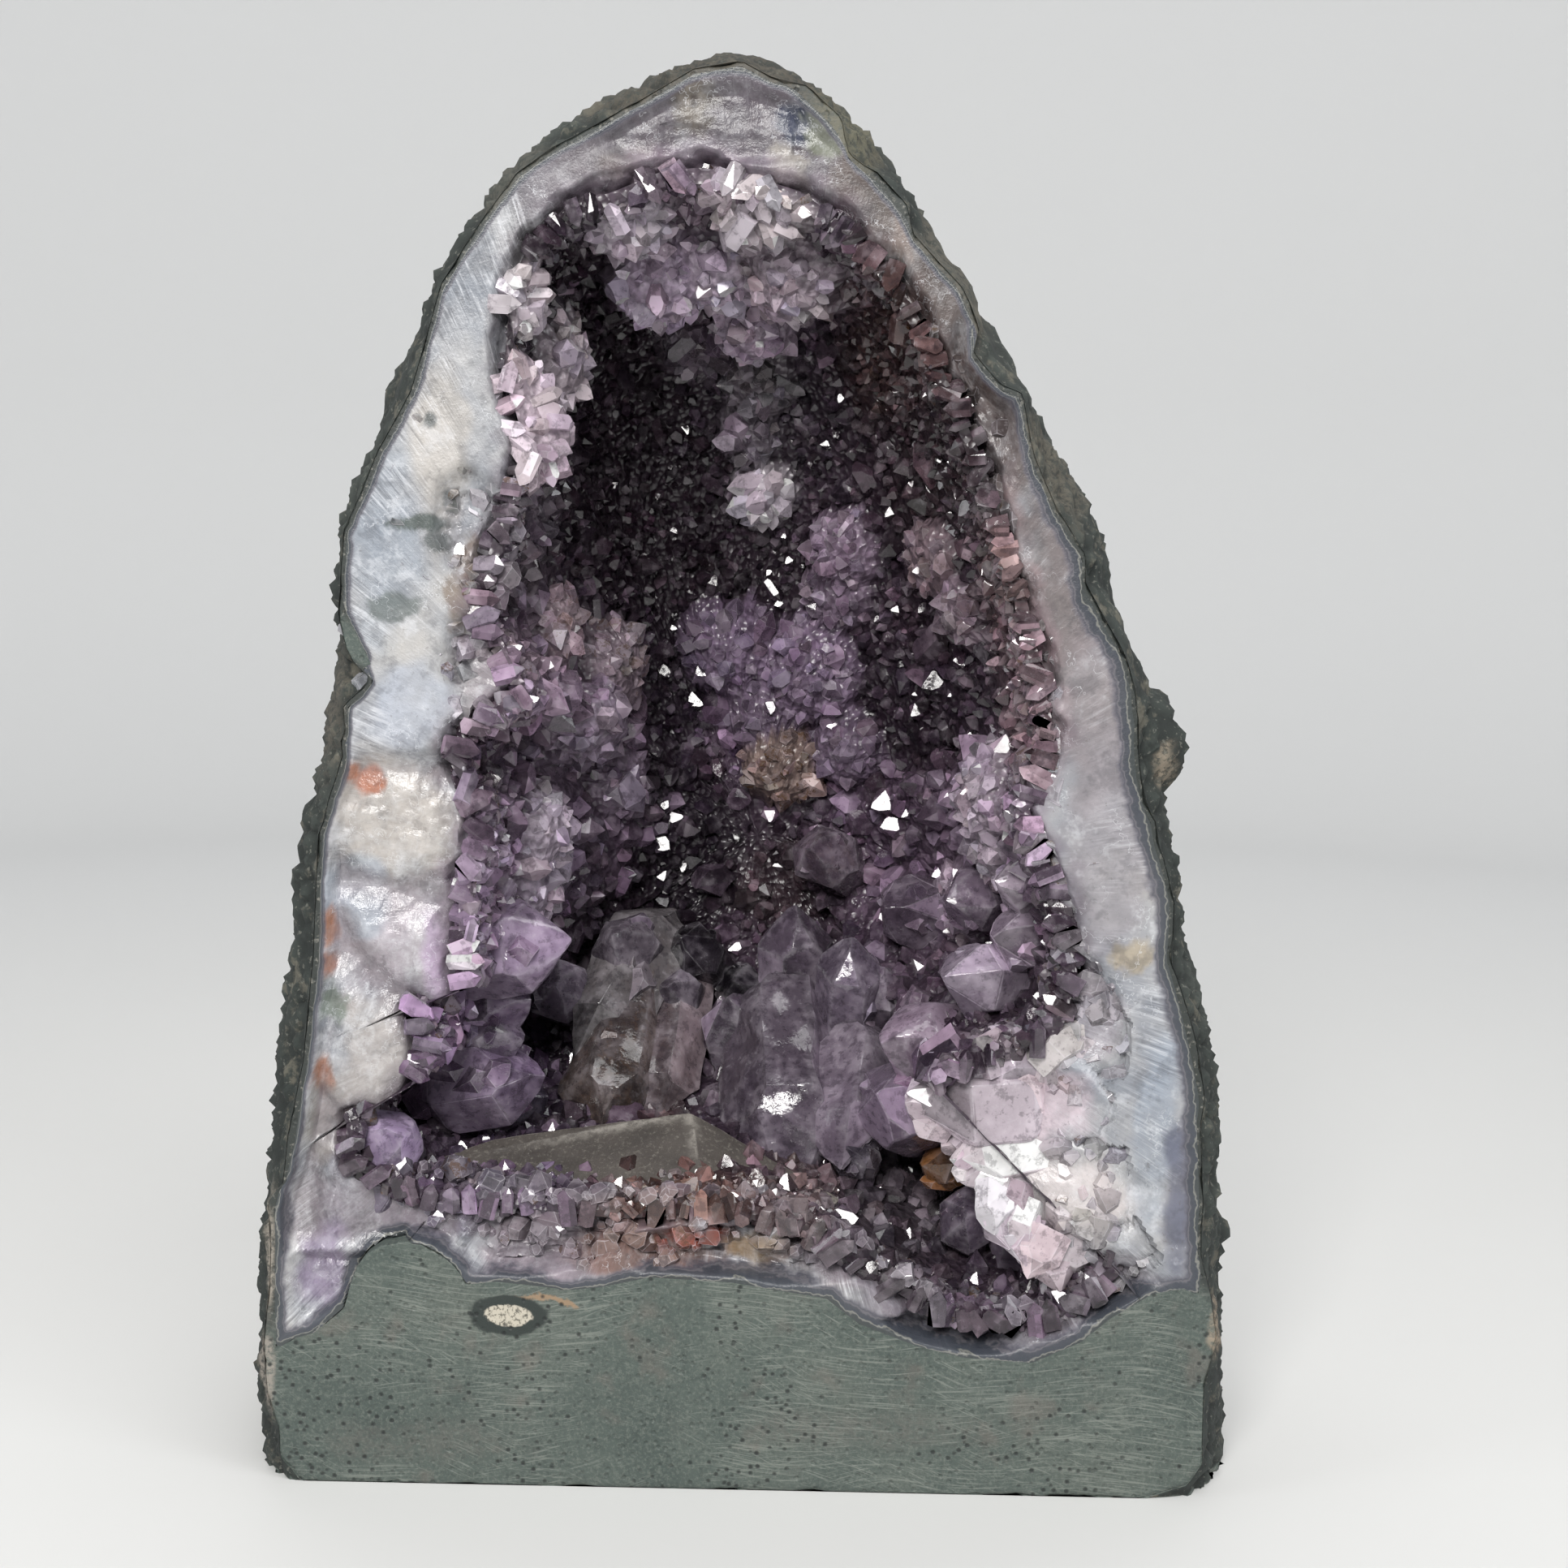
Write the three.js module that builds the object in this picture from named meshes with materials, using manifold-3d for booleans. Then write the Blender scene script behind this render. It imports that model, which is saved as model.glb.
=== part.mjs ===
// An amethyst cathedral geode, standing on its sawn base.
// A volcanic nodule is cut open at the front: a basalt body with a rough bark holds a bowl of agate
// and quartz, and the bowl's hollow is lined with one crust of amethyst points.
// Millimetres, +Z up. The sawn front face looks towards -Y, and the origin is at the middle of the base.

import * as THREE from "three";
import { ConvexGeometry } from "three/addons/geometries/ConvexGeometry.js";
import { ConvexHull } from "three/addons/math/ConvexHull.js";
import { mergeVertices } from "three/addons/utils/BufferGeometryUtils.js";
import Module from "manifold-3d";

const wasm = await Module();
wasm.setup();

// Driving sizes
const DEPTH = 150; // front face to back
const FACE_Y = -DEPTH / 2;
const BACK_Y = DEPTH / 2;
const CENTRE_Z = 165; // height of the point that every outline is measured around
const WAIST_Y = FACE_Y + 48; // where the nodule is widest
const SIDE_BULGE = 1.07; // width at the waist over the width of the face
const CROWN_BULGE = 1.05; // the same for the height above the centre
const BASE_BULGE = 1.3; // and below it, where the flat base cuts the nodule
const BROAD_LUMP = 5; // height of the bark's broad lumps
const BROAD_SIZE = 52;
const SMALL_LUMP = 4;
const SMALL_SIZE = 26;
const LUMP_START = 30; // the lumps reach their full height this far behind the front face
const EVEN_SPREAD = THREE.MathUtils.degToRad(38); // how far the outline's nicks even out at the back
const BARK_BACK = 8; // basalt behind the quartz
const QUARTZ_BACK = 17; // quartz behind the crystals
const QUARTZ_BULGE = 1.02;
const HOLLOW_DEPTH = DEPTH - BARK_BACK - QUARTZ_BACK;
const SKIN = 4.5; // thickness that the crystals have grown together to
const CRUST_RECESS = 0.4; // the crust stops this far behind the front face
const LAYER_GAP = 0.3; // clearance between two layers
const OVERCUT = 6; // how far a cutting solid runs past the front face
const BARK_RINGS = 12;
const EVEN_STEPS = 8;
const LAYER_RINGS = 5;

// Outlines on the front face, as [x, z], seen from the front
const FACE_OUTLINE = [
  [-120, 0], [-126, 7], [-127, 14], [-130, 23], [-131, 38], [-129, 55], [-128, 79], [-124, 84],
  [-123, 97], [-119, 118], [-117, 147], [-117, 180], [-114, 190], [-109, 202], [-109, 216],
  [-101, 223], [-105, 227], [-108, 240], [-108, 263], [-102, 276], [-89, 299], [-80, 326],
  [-73, 337], [-60, 354], [-51, 360], [-28, 370], [-14, 378], [-2, 380], [6, 376], [15, 374],
  [24, 366], [26, 359], [32, 354], [41, 346], [43, 339], [56, 326], [61, 316], [60, 311],
  [68, 302], [73, 300], [77, 285], [83, 273], [92, 259], [92, 252], [103, 231], [108, 215],
  [112, 180], [116, 165], [116, 148], [122, 127], [126, 111], [127, 82], [126, 68], [129, 57],
  [131, 45], [128, 31], [128, 10], [123, 4], [111, 0], [60, 0], [0, 0], [-60, 0],
];
const QUARTZ_OUTLINE = [
  [-124, 40], [-114, 43], [-107, 50], [-104, 62], [-97, 67], [-86, 68], [-77, 62], [-74, 53],
  [-68, 48], [-59, 46], [-48, 48], [-37, 56], [-24, 60], [-2, 59], [24, 55], [33, 48], [49, 42],
  [62, 39], [80, 38], [93, 44], [101, 51], [112, 58], [122, 60], [122, 82], [121, 111],
  [117, 127], [111, 148], [111, 165], [107, 180], [103, 215], [98, 230], [87, 252], [78, 272],
  [68, 296], [56, 312], [51, 324], [38, 338], [20, 360], [8, 371], [-2, 375], [-14, 372],
  [-28, 366], [-52, 355], [-70, 334], [-76, 323], [-85, 298], [-98, 274], [-103, 262],
  [-103, 241], [-96, 224], [-104, 215], [-104, 203], [-112, 180], [-112, 147], [-118, 97],
  [-123, 79],
];
const HOLLOW_OUTLINE = [
  [-107, 89], [-107, 100], [-92, 105], [-85, 121], [-90, 132], [-81, 127], [-76, 134],
  [-76, 167], [-72, 174], [-73, 191], [-78, 199], [-76, 208], [-59, 219], [-71, 244], [-63, 267],
  [-58, 284], [-63, 302], [-61, 327], [-56, 339], [-46, 349], [-37, 353], [-13, 356], [2, 360],
  [13, 357], [18, 347], [37, 328], [46, 313], [61, 281], [74, 244], [82, 210], [76, 189],
  [87, 161], [90, 145], [86, 128], [73, 123], [58, 116], [52, 103], [65, 94], [76, 79], [88, 66],
  [105, 66], [97, 56], [84, 47], [64, 47], [46, 54], [33, 62], [22, 70], [-2, 77], [-33, 75],
  [-64, 78], [-90, 80],
];

// Knobs of the bark, as [x, y, z] and a radius. They break the outline behind the front face.
const BARK_KNOBS = [
  { at: [106, -56, 206], radius: 15 },
  { at: [127, -50, 66], radius: 10 },
  { at: [-101, -58, 232], radius: 9 },
  { at: [-121, -48, 60], radius: 14 },
  { at: [26, -56, 352], radius: 10 },
  { at: [60, -56, 302], radius: 11 },
  { at: [-62, 36, 250], radius: 24 },
  { at: [60, 40, 110], radius: 30 },
  { at: [-84, 30, 96], radius: 26 },
];

// Broken hollows in the quartz rim, as [x, z] on the front face, half width, half height and depth
const RIM_BREAKS = [
  { at: [-90, 152], half: [13, 26], depth: 9 },
  { at: [-86, 118], half: [9, 10], depth: 6 },
  { at: [-52, 72], half: [16, 7], depth: 7 },
  { at: [6, 70], half: [20, 6], depth: 6 },
  { at: [58, 44], half: [16, 5], depth: 9 },
  { at: [72, 108], half: [15, 9], depth: 10 },
  { at: [92, 132], half: [7, 14], depth: 6 },
  { at: [-70, 215], half: [9, 10], depth: 6 },
  { at: [-72, 300], half: [8, 18], depth: 6 },
  { at: [-18, 360], half: [20, 6], depth: 8 },
];

// Round heads of small points: [x, z] on the hollow's wall, radius, and how far the head stands out
const HEADS = [
  { at: [-24, 341], radius: 14, reach: 13 },
  { at: [4, 341], radius: 18, reach: 14 },
  { at: [-55, 311], radius: 11, reach: 8 },
  { at: [-57, 292], radius: 13, reach: 9 },
  { at: [-3, 311], radius: 11, reach: 7 },
  { at: [0, 274], radius: 11, reach: 8 },
  { at: [28, 258], radius: 13, reach: 11 },
  { at: [55, 256], radius: 12, reach: 7 },
  { at: [-7, 226], radius: 16, reach: 13 },
  { at: [17, 221], radius: 17, reach: 13 },
  { at: [8, 188], radius: 16, reach: 14 },
  { at: [-60, 234], radius: 12, reach: 9 },
  { at: [-49, 221], radius: 16, reach: 13 },
  { at: [-46, 186], radius: 12, reach: 10 },
  { at: [-62, 176], radius: 12, reach: 9 },
  { at: [69, 190], radius: 13, reach: 7 },
];

// Single large points: [x, z] on the wall, radius, length, and a lean [x, y, z] off the wall's normal
const GREAT_POINTS = [
  { at: [-66, 150], radius: 15, length: 25, lean: [0.5, -0.5, 0] },
  { at: [-80, 108], radius: 16, length: 25, lean: [0.1, -0.4, 0.1] },
  { at: [-37, 104], radius: 19, length: 42, lean: [-0.1, -0.4, -1.3] },
  { at: [-50, 124], radius: 15, length: 34, lean: [0.2, -0.2, -0.2] },
  { at: [3, 102], radius: 18, length: 46, lean: [0.1, -0.5, -1.3] },
  { at: [23, 110], radius: 14, length: 40, lean: [0, -0.4, -0.8] },
  { at: [50, 104], radius: 17, length: 36, lean: [-0.3, -0.6, -0.5] },
  { at: [52, 82], radius: 14, length: 30, lean: [-0.9, -0.4, -0.5] },
  { at: [68, 132], radius: 11, length: 20, lean: [-0.3, -0.3, 0] },
  { at: [78, 64], radius: 9, length: 20, lean: [-0.4, -0.3, 0.2] },
  { at: [-10, 128], radius: 12, length: 26, lean: [0.3, -0.2, 0.2] },
  { at: [22, 156], radius: 11, length: 20, lean: [-0.3, -0.3, 0.3] },
  { at: [44, 140], radius: 12, length: 24, lean: [-0.3, -0.3, 0.2] },
  { at: [-60, 90], radius: 13, length: 20, lean: [0.2, -0.2, -0.3] },
  { at: [-96, 94], radius: 9, length: 14, lean: [0.3, -0.4, -0.3] },
];

// The flat grey crystal that lies across the hollow's floor, by its corners [x, y, z]
const FLOOR_BLADE = [
  [-84, -58, 82], [-78, -34, 86], [-22, -32, 96], [-14, -38, 96], [16, -50, 84], [-30, -62, 82],
  [-62, -66, 80], [12, -30, 66], [-70, -30, 66], [-8, -58, 66], [-74, -60, 66],
];

// The wall's own points: distance between neighbours low and high in the hollow
const LOW_SPACING = 17;
const HIGH_SPACING = 10;
const SIZE_CHANGE = [110, 240]; // heights between which the points turn from low to high size
const HEAD_SPACING = 0.52; // distance between a head's points, over the head's radius
const WALL_TRIES = 5000;
const TIP_HEIGHT = 0.6; // height of a point over the distance to its neighbours
const RIM_STEP = THREE.MathUtils.degToRad(5);
const POINT_ROOT = 10; // how deep a large point is rooted in the wall
const HALF_APEX = THREE.MathUtils.degToRad(38.2); // slope of quartz's tip faces to its long axis
const SEED = 7;

// Seeded random numbers from 0 to 1
function seeded(seed) {
  let state = seed >>> 0;
  return () => {
    state = (state + 0x6d2b79f5) >>> 0;
    let mixed = Math.imul(state ^ (state >>> 15), 1 | state);
    mixed = (mixed + Math.imul(mixed ^ (mixed >>> 7), 61 | mixed)) ^ mixed;
    return ((mixed ^ (mixed >>> 14)) >>> 0) / 4294967296;
  };
}

// Smooth noise from -1 to 1, with lumps about one unit across
function lumpNoise(x, y, z) {
  const corner = (i, j, k) => {
    const wave = Math.sin(i * 127.1 + j * 311.7 + k * 74.7) * 43758.5453;
    return 2 * (wave - Math.floor(wave)) - 1;
  };
  const [i, j, k] = [x, y, z].map(Math.floor);
  const [u, v, w] = [x - i, y - j, z - k].map((t) => t * t * (3 - 2 * t));
  const mix = THREE.MathUtils.lerp;
  const along = (dj, dk) => mix(corner(i, j + dj, k + dk), corner(i + 1, j + dj, k + dk), u);
  return mix(mix(along(0, 0), along(1, 0), v), mix(along(0, 1), along(1, 1), v), w);
}

// How far a closed outline reaches from the centre at an angle, counted from +X towards +Z
function reachOf(outline, angle) {
  const [dx, dz] = [Math.cos(angle), Math.sin(angle)];
  let reach = 0;
  outline.forEach(([ax, az], n) => {
    const [bx, bz] = outline[(n + 1) % outline.length];
    const [ex, ez] = [bx - ax, bz - az];
    const [ox, oz] = [ax, az - CENTRE_Z];
    const cross = dx * ez - dz * ex;
    const distance = (ox * ez - oz * ex) / cross;
    const share = (ox * dz - oz * dx) / cross;
    if (share >= -1e-9 && share <= 1 + 1e-9 && distance > reach) reach = distance;
  });
  return reach;
}

// The angles of an outline's own points, so that a ring through them keeps its corners
function anglesOf(outline) {
  return outline.map(([x, z]) => Math.atan2(z - CENTRE_Z, x)).sort((a, b) => a - b);
}

// The point at a distance and angle from the centre
function polar(distance, angle, y) {
  return new THREE.Vector3(distance * Math.cos(angle), y, CENTRE_Z + distance * Math.sin(angle));
}

// A closed geometry as a solid that can be joined and cut
function toSolid(geometry) {
  const bare = new THREE.BufferGeometry().setIndex(geometry.index);
  bare.setAttribute("position", geometry.getAttribute("position"));
  const merged = mergeVertices(bare, 1e-3);
  const mesh = new wasm.Mesh({
    numProp: 3,
    vertProperties: merged.getAttribute("position").array,
    triVerts: new Uint32Array(merged.index.array),
  });
  return new wasm.Manifold(mesh);
}

// A solid as a geometry
function toGeometry(solid) {
  const mesh = solid.getMesh();
  const geometry = new THREE.BufferGeometry();
  geometry.setAttribute("position", new THREE.BufferAttribute(mesh.vertProperties, 3));
  geometry.setIndex(new THREE.BufferAttribute(mesh.triVerts, 1));
  return geometry;
}

// A closed solid from a list of points and a list of triangles
function faceSolid(points, faces) {
  return toSolid(new THREE.BufferGeometry().setFromPoints(points).setIndex(faces));
}

// A closed solid from rings of points that run from the front centre to the back centre
function ringSolid(front, rings, back) {
  const count = rings[0].length;
  const points = [front, ...rings.flat(), back];
  const at = (ring, n) => 1 + ring * count + (n % count);
  const faces = [];
  for (let n = 0; n < count; n += 1) {
    faces.push(0, at(0, n), at(0, n + 1));
    for (let ring = 0; ring + 1 < rings.length; ring += 1) {
      faces.push(at(ring, n), at(ring + 1, n), at(ring + 1, n + 1));
      faces.push(at(ring, n), at(ring + 1, n + 1), at(ring, n + 1));
    }
    faces.push(points.length - 1, at(rings.length - 1, n + 1), at(rings.length - 1, n));
  }
  return faceSolid(points, faces);
}

// Everything ahead of a plane y = front, as a cutting solid
function aheadOf(front) {
  const span = 4 * DEPTH;
  return toSolid(new THREE.BoxGeometry(span, span, 2 * span).translate(0, front - span / 2, 0));
}

// The face outline, evened out over a spread of angles
function evenReach(angle, spread) {
  let sum = 0;
  for (let step = -EVEN_STEPS; step <= EVEN_STEPS; step += 1) {
    sum += reachOf(FACE_OUTLINE, angle + (step / EVEN_STEPS) * spread);
  }
  return sum / (2 * EVEN_STEPS + 1);
}

// A point of the nodule's skin. turn runs from -1 at the face over 0 at the waist to 1 at the back.
function barkPoint(angle, turn) {
  const quarter = (Math.PI / 2) * turn;
  const y = WAIST_Y + (turn < 0 ? (WAIST_Y - FACE_Y) * turn : (BACK_Y - WAIST_Y) * Math.sin(quarter));
  const behind = THREE.MathUtils.smoothstep(y - FACE_Y, 0, LUMP_START);
  const reach = evenReach(angle, (EVEN_SPREAD * (y - FACE_Y)) / DEPTH);
  const swell = turn < 0 ? 1 - turn ** 2 : 1;
  const width = turn < 0 ? 1 : Math.cos(quarter) ** 0.8;
  const lift = Math.sin(angle) > 0 ? CROWN_BULGE : BASE_BULGE;
  const x = reach * Math.cos(angle) * (1 + (SIDE_BULGE - 1) * swell) * width;
  const z = reach * Math.sin(angle) * (1 + (lift - 1) * swell) * width;
  const broad = BROAD_LUMP * Math.max(-0.5, lumpNoise(...[x, y, z].map((side) => side / BROAD_SIZE)));
  const small = SMALL_LUMP * lumpNoise(...[x, y, z].map((side) => side / SMALL_SIZE));
  const lump = 1 + (behind * (broad + small)) / Math.max(reach * width, BROAD_SIZE);
  return new THREE.Vector3(x * lump, y + behind * small * (1 - width), CENTRE_Z + z * lump);
}

// The whole nodule, filled, with its sawn base
function noduleSolid() {
  const angles = anglesOf(FACE_OUTLINE);
  const rings = [];
  for (let ring = 0; ring < BARK_RINGS; ring += 1) {
    const turn = -1 + (2 * ring) / BARK_RINGS;
    rings.push(angles.map((angle) => barkPoint(angle, turn)));
  }
  let solid = ringSolid(polar(0, 0, FACE_Y), rings, polar(0, 0, BACK_Y));
  for (const knob of BARK_KNOBS) {
    const lump = new THREE.IcosahedronGeometry(knob.radius, 1).scale(0.8, 1, 1);
    solid = solid.add(toSolid(lump.translate(...knob.at)));
  }
  const span = 4 * DEPTH;
  const ground = new THREE.BoxGeometry(span, span, span).translate(0, 0, -span / 2);
  return solid.subtract(toSolid(ground)).subtract(aheadOf(FACE_Y));
}

// A bowl that opens forwards, filled. It starts at y = front, and pointAt gives its wall.
function bowlSolid(angles, front, pointAt) {
  const rings = [angles.map((angle) => pointAt(angle, 0).setY(front))];
  for (let ring = 0; ring < LAYER_RINGS; ring += 1) {
    rings.push(angles.map((angle) => pointAt(angle, ring / LAYER_RINGS)));
  }
  return ringSolid(polar(0, 0, front), rings, pointAt(0, 1));
}

// The outside of the quartz, as a filled bowl that inset shrinks
function quartzSolid(inset) {
  const depth = DEPTH - BARK_BACK - inset;
  return bowlSolid(anglesOf(QUARTZ_OUTLINE), FACE_Y - OVERCUT, (angle, share) => {
    const quarter = (Math.PI / 2) * share;
    const belly = 1 + (QUARTZ_BULGE - 1) * Math.sin(2 * quarter);
    const distance = (reachOf(QUARTZ_OUTLINE, angle) - inset) * Math.cos(quarter) ** 0.8 * belly;
    return polar(distance, angle, FACE_Y + depth * Math.sin(quarter));
  });
}

// The wall of the hollow narrows slower in its lower half
function wallCurve(angle) {
  return 0.9 + 0.25 * Math.min(0, Math.sin(angle));
}

// A point of the hollow's wall: share runs from 0 at the face to 1 at the back
function wallPoint(angle, share, inset) {
  const quarter = (Math.PI / 2) * share;
  const distance = (reachOf(HOLLOW_OUTLINE, angle) - inset) * Math.cos(quarter) ** wallCurve(angle);
  return polar(distance, angle, FACE_Y + (HOLLOW_DEPTH - inset) * Math.sin(quarter));
}

// The hollow, filled
function hollowSolid(inset) {
  const wall = (angle, share) => wallPoint(angle, share, inset);
  return bowlSolid(anglesOf(HOLLOW_OUTLINE), FACE_Y - OVERCUT, wall);
}

// A wall point of the crust, with the direction into the hollow there
function wallFrame(angle, share) {
  const step = 0.03;
  const place = wallPoint(angle, share, SKIN);
  const deeper = wallPoint(angle, Math.min(0.98, share + step), SKIN);
  const nearer = wallPoint(angle, Math.max(0, share - step), SKIN);
  const around = wallPoint(angle + step, share, SKIN).sub(wallPoint(angle - step, share, SKIN));
  const normal = deeper.sub(nearer).cross(around).normalize();
  const middle = new THREE.Vector3(0, FACE_Y, CENTRE_Z).sub(place);
  if (normal.dot(middle) < 0) normal.negate();
  return { angle, share, place, normal };
}

// The wall behind a position [x, z] of the front view
function wallBehind([x, z]) {
  const angle = Math.atan2(z - CENTRE_Z, x);
  const away = Math.hypot(x, z - CENTRE_Z) / (reachOf(HOLLOW_OUTLINE, angle) - SKIN);
  const share = Math.acos(Math.min(0.999, away) ** (1 / wallCurve(angle))) / (Math.PI / 2);
  return wallFrame(angle, share);
}

// How far the heads lift the wall at a place, and the distance that its points keep there
function reliefAt(place, heads) {
  const size = THREE.MathUtils.smoothstep(place.z, ...SIZE_CHANGE);
  let spacing = THREE.MathUtils.lerp(LOW_SPACING, HIGH_SPACING, size);
  let lift = 0;
  for (const head of heads) {
    const away = place.distanceTo(head.place) / head.radius;
    if (away > 1) continue;
    lift = Math.max(lift, head.reach * Math.sqrt(1 - away ** 2));
    spacing = Math.min(spacing, head.radius * HEAD_SPACING);
  }
  return { lift, spacing };
}

// Scattered wall points, each at its own distance from its neighbours
function scatterPoints(heads, random) {
  const points = heads.map((head) => ({ ...head, ...reliefAt(head.place, heads) }));
  for (let n = 0; n < WALL_TRIES; n += 1) {
    const frame = wallFrame((2 * random() - 1) * Math.PI, 0.06 + 0.93 * random() ** 0.8);
    const relief = reliefAt(frame.place, heads);
    const near = points.some((other) => other.place.distanceTo(frame.place) < relief.spacing);
    if (!near) points.push({ ...frame, ...relief });
  }
  return points;
}

// The room that the crystals leave free: a closed surface whose scattered points are the tips of
// facets that slope down to the middles between three neighbours
function voidSolid(random) {
  const heads = HEADS.map((head) => ({ ...head, ...wallBehind(head.at) }));
  const nodes = scatterPoints(heads, random).map((point) => {
    const { place, normal, lift, spacing } = point;
    const foot = place.clone().addScaledVector(normal, lift);
    const lean = new THREE.Vector3(random() - 0.5, random() - 0.5, random() - 0.5);
    const height = spacing * TIP_HEIGHT * (0.6 + 0.8 * random());
    const tip = foot.clone().addScaledVector(normal, height).addScaledVector(lean, 0.5 * spacing);
    const quarter = (Math.PI / 2) * point.share;
    const [globeX, globeZ] = [Math.cos(point.angle), Math.sin(point.angle)];
    const globe = new THREE.Vector3(globeX, Math.tan(quarter), globeZ).normalize();
    return { foot, tip, globe };
  });
  for (let angle = -Math.PI; angle < Math.PI - RIM_STEP / 2; angle += RIM_STEP) {
    const foot = wallPoint(angle, 0, SKIN).setY(FACE_Y - OVERCUT);
    nodes.push({ foot, tip: foot, globe: new THREE.Vector3(Math.cos(angle), 0, Math.sin(angle)) });
  }
  const mouth = polar(0, 0, FACE_Y - OVERCUT);
  nodes.push({ foot: mouth, tip: mouth, globe: new THREE.Vector3(0, -1, 0) });
  return druseSolid(nodes);
}

// Joins neighbours on the globe with triangles, and splits each so that its middle is a valley
function druseSolid(nodes) {
  const hull = new ConvexHull().setFromPoints(nodes.map((node) => node.globe));
  const nodeOf = new Map(nodes.map((node, n) => [node.globe, n]));
  const points = nodes.map((node) => node.tip);
  hull.faces.forEach((face) => {
    const corners = [0, 1, 2].map((n) => nodes[nodeOf.get(face.getEdge(n).head().point)].foot);
    face.valley = points.length;
    points.push(corners[0].clone().add(corners[1]).add(corners[2]).divideScalar(3));
  });
  const faces = [];
  hull.faces.forEach((face) => {
    for (let n = 0; n < 3; n += 1) {
      const edge = face.getEdge(n);
      faces.push(nodeOf.get(edge.tail().point), edge.twin.face.valley, face.valley);
    }
  });
  return faceSolid(points, faces);
}

// One quartz point: six prism faces and a tip of three large and three small faces.
// It stands along +Z, and its root is at -rooted.
function quartzPoint(radius, length, rooted, random) {
  const planes = [new THREE.Plane(new THREE.Vector3(0, 0, -1), -rooted)];
  for (let side = 0; side < 6; side += 1) {
    const angle = (side * Math.PI) / 3;
    const outwards = new THREE.Vector3(Math.cos(angle), Math.sin(angle), 0);
    planes.push(new THREE.Plane(outwards, -radius * (0.92 + 0.16 * random())));
    const tipFace = outwards.clone().multiplyScalar(Math.cos(HALF_APEX)).setZ(Math.sin(HALF_APEX));
    const raised = side % 2 ? radius * (0.2 + 0.15 * random()) : 0;
    const onFace = new THREE.Vector3(0, 0, length + raised);
    planes.push(new THREE.Plane().setFromNormalAndCoplanarPoint(tipFace, onFace));
  }
  return new ConvexGeometry(cornersOf(planes));
}

// The corners of the convex solid that a set of planes encloses
function cornersOf(planes) {
  const corners = [];
  const addCorner = (a, b, c) => {
    const normals = [a.normal, b.normal, c.normal];
    const matrix = new THREE.Matrix3().set(...normals.flatMap((normal) => normal.toArray()));
    if (Math.abs(matrix.determinant()) < 1e-4) return;
    const corner = new THREE.Vector3(-a.constant, -b.constant, -c.constant);
    corner.applyMatrix3(matrix.invert());
    if (planes.every((plane) => plane.distanceToPoint(corner) < 1e-3)) corners.push(corner);
  };
  planes.forEach((a, n) => {
    planes.slice(n + 1).forEach((b, m) => {
      planes.slice(n + m + 2).forEach((c) => addCorner(a, b, c));
    });
  });
  return corners;
}

// A large point that grows from the wall
function greatSolid(point, random) {
  const { place, normal } = wallBehind(point.at);
  const direction = normal.clone().add(new THREE.Vector3(...point.lean)).normalize();
  const aim = new THREE.Quaternion().setFromUnitVectors(new THREE.Vector3(0, 0, 1), direction);
  const geometry = quartzPoint(point.radius, point.length, POINT_ROOT, random);
  geometry.rotateZ(random() * Math.PI).applyQuaternion(aim).translate(place.x, place.y, place.z);
  return toSolid(geometry);
}

// The crust: every crystal of the hollow, grown together into one skin
function crustSolid() {
  const random = seeded(SEED);
  const hollow = hollowSolid(LAYER_GAP).subtract(aheadOf(FACE_Y + CRUST_RECESS));
  let crust = hollow.subtract(voidSolid(random));
  for (const point of GREAT_POINTS) crust = crust.add(greatSolid(point, random));
  const blade = new ConvexGeometry(FLOOR_BLADE.map((corner) => new THREE.Vector3(...corner)));
  return crust.add(toSolid(blade)).intersect(hollow);
}

// A broken hollow of the rim: a flat-sided lens that bites into the front face
function breakSolid({ at: [x, z], half: [halfWidth, halfHeight], depth }) {
  const lens = new THREE.IcosahedronGeometry(1, 0).rotateY(z).scale(halfWidth, depth, halfHeight);
  return toSolid(lens.translate(x, FACE_Y, z));
}

// The bowl of agate and quartz, with its broken rim
function quartzBand() {
  let band = quartzSolid(LAYER_GAP).subtract(aheadOf(FACE_Y)).subtract(hollowSolid(0));
  for (const rimBreak of RIM_BREAKS) band = band.subtract(breakSolid(rimBreak));
  return band;
}

// A named mesh of one layer, with its colour and shine
function layer(name, solid, color, roughness) {
  const material = new THREE.MeshStandardMaterial({ color, roughness, metalness: 0 });
  const mesh = new THREE.Mesh(toGeometry(solid), material);
  mesh.name = name;
  return mesh;
}

const geode = new THREE.Group();
geode.add(
  layer("basalt_matrix", noduleSolid().subtract(quartzSolid(0)), 0x5d6b66, 0.75),
  layer("agate_quartz_band", quartzBand(), 0xb9b4bd, 0.35),
  layer("amethyst_crust", crustSolid(), 0x5b3f6b, 0.15),
);

export default geode;
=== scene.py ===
# An amethyst cathedral geode on its sawn base: the looks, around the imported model.
# Shapes are worked out in millimetres, in the model's frame, and become metres when a mesh is made.
# The sawn front looks towards -Y, and +Z is up.

import itertools
import math

import bmesh
import bpy
import numpy as np
from mathutils import Matrix, Vector


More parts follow.
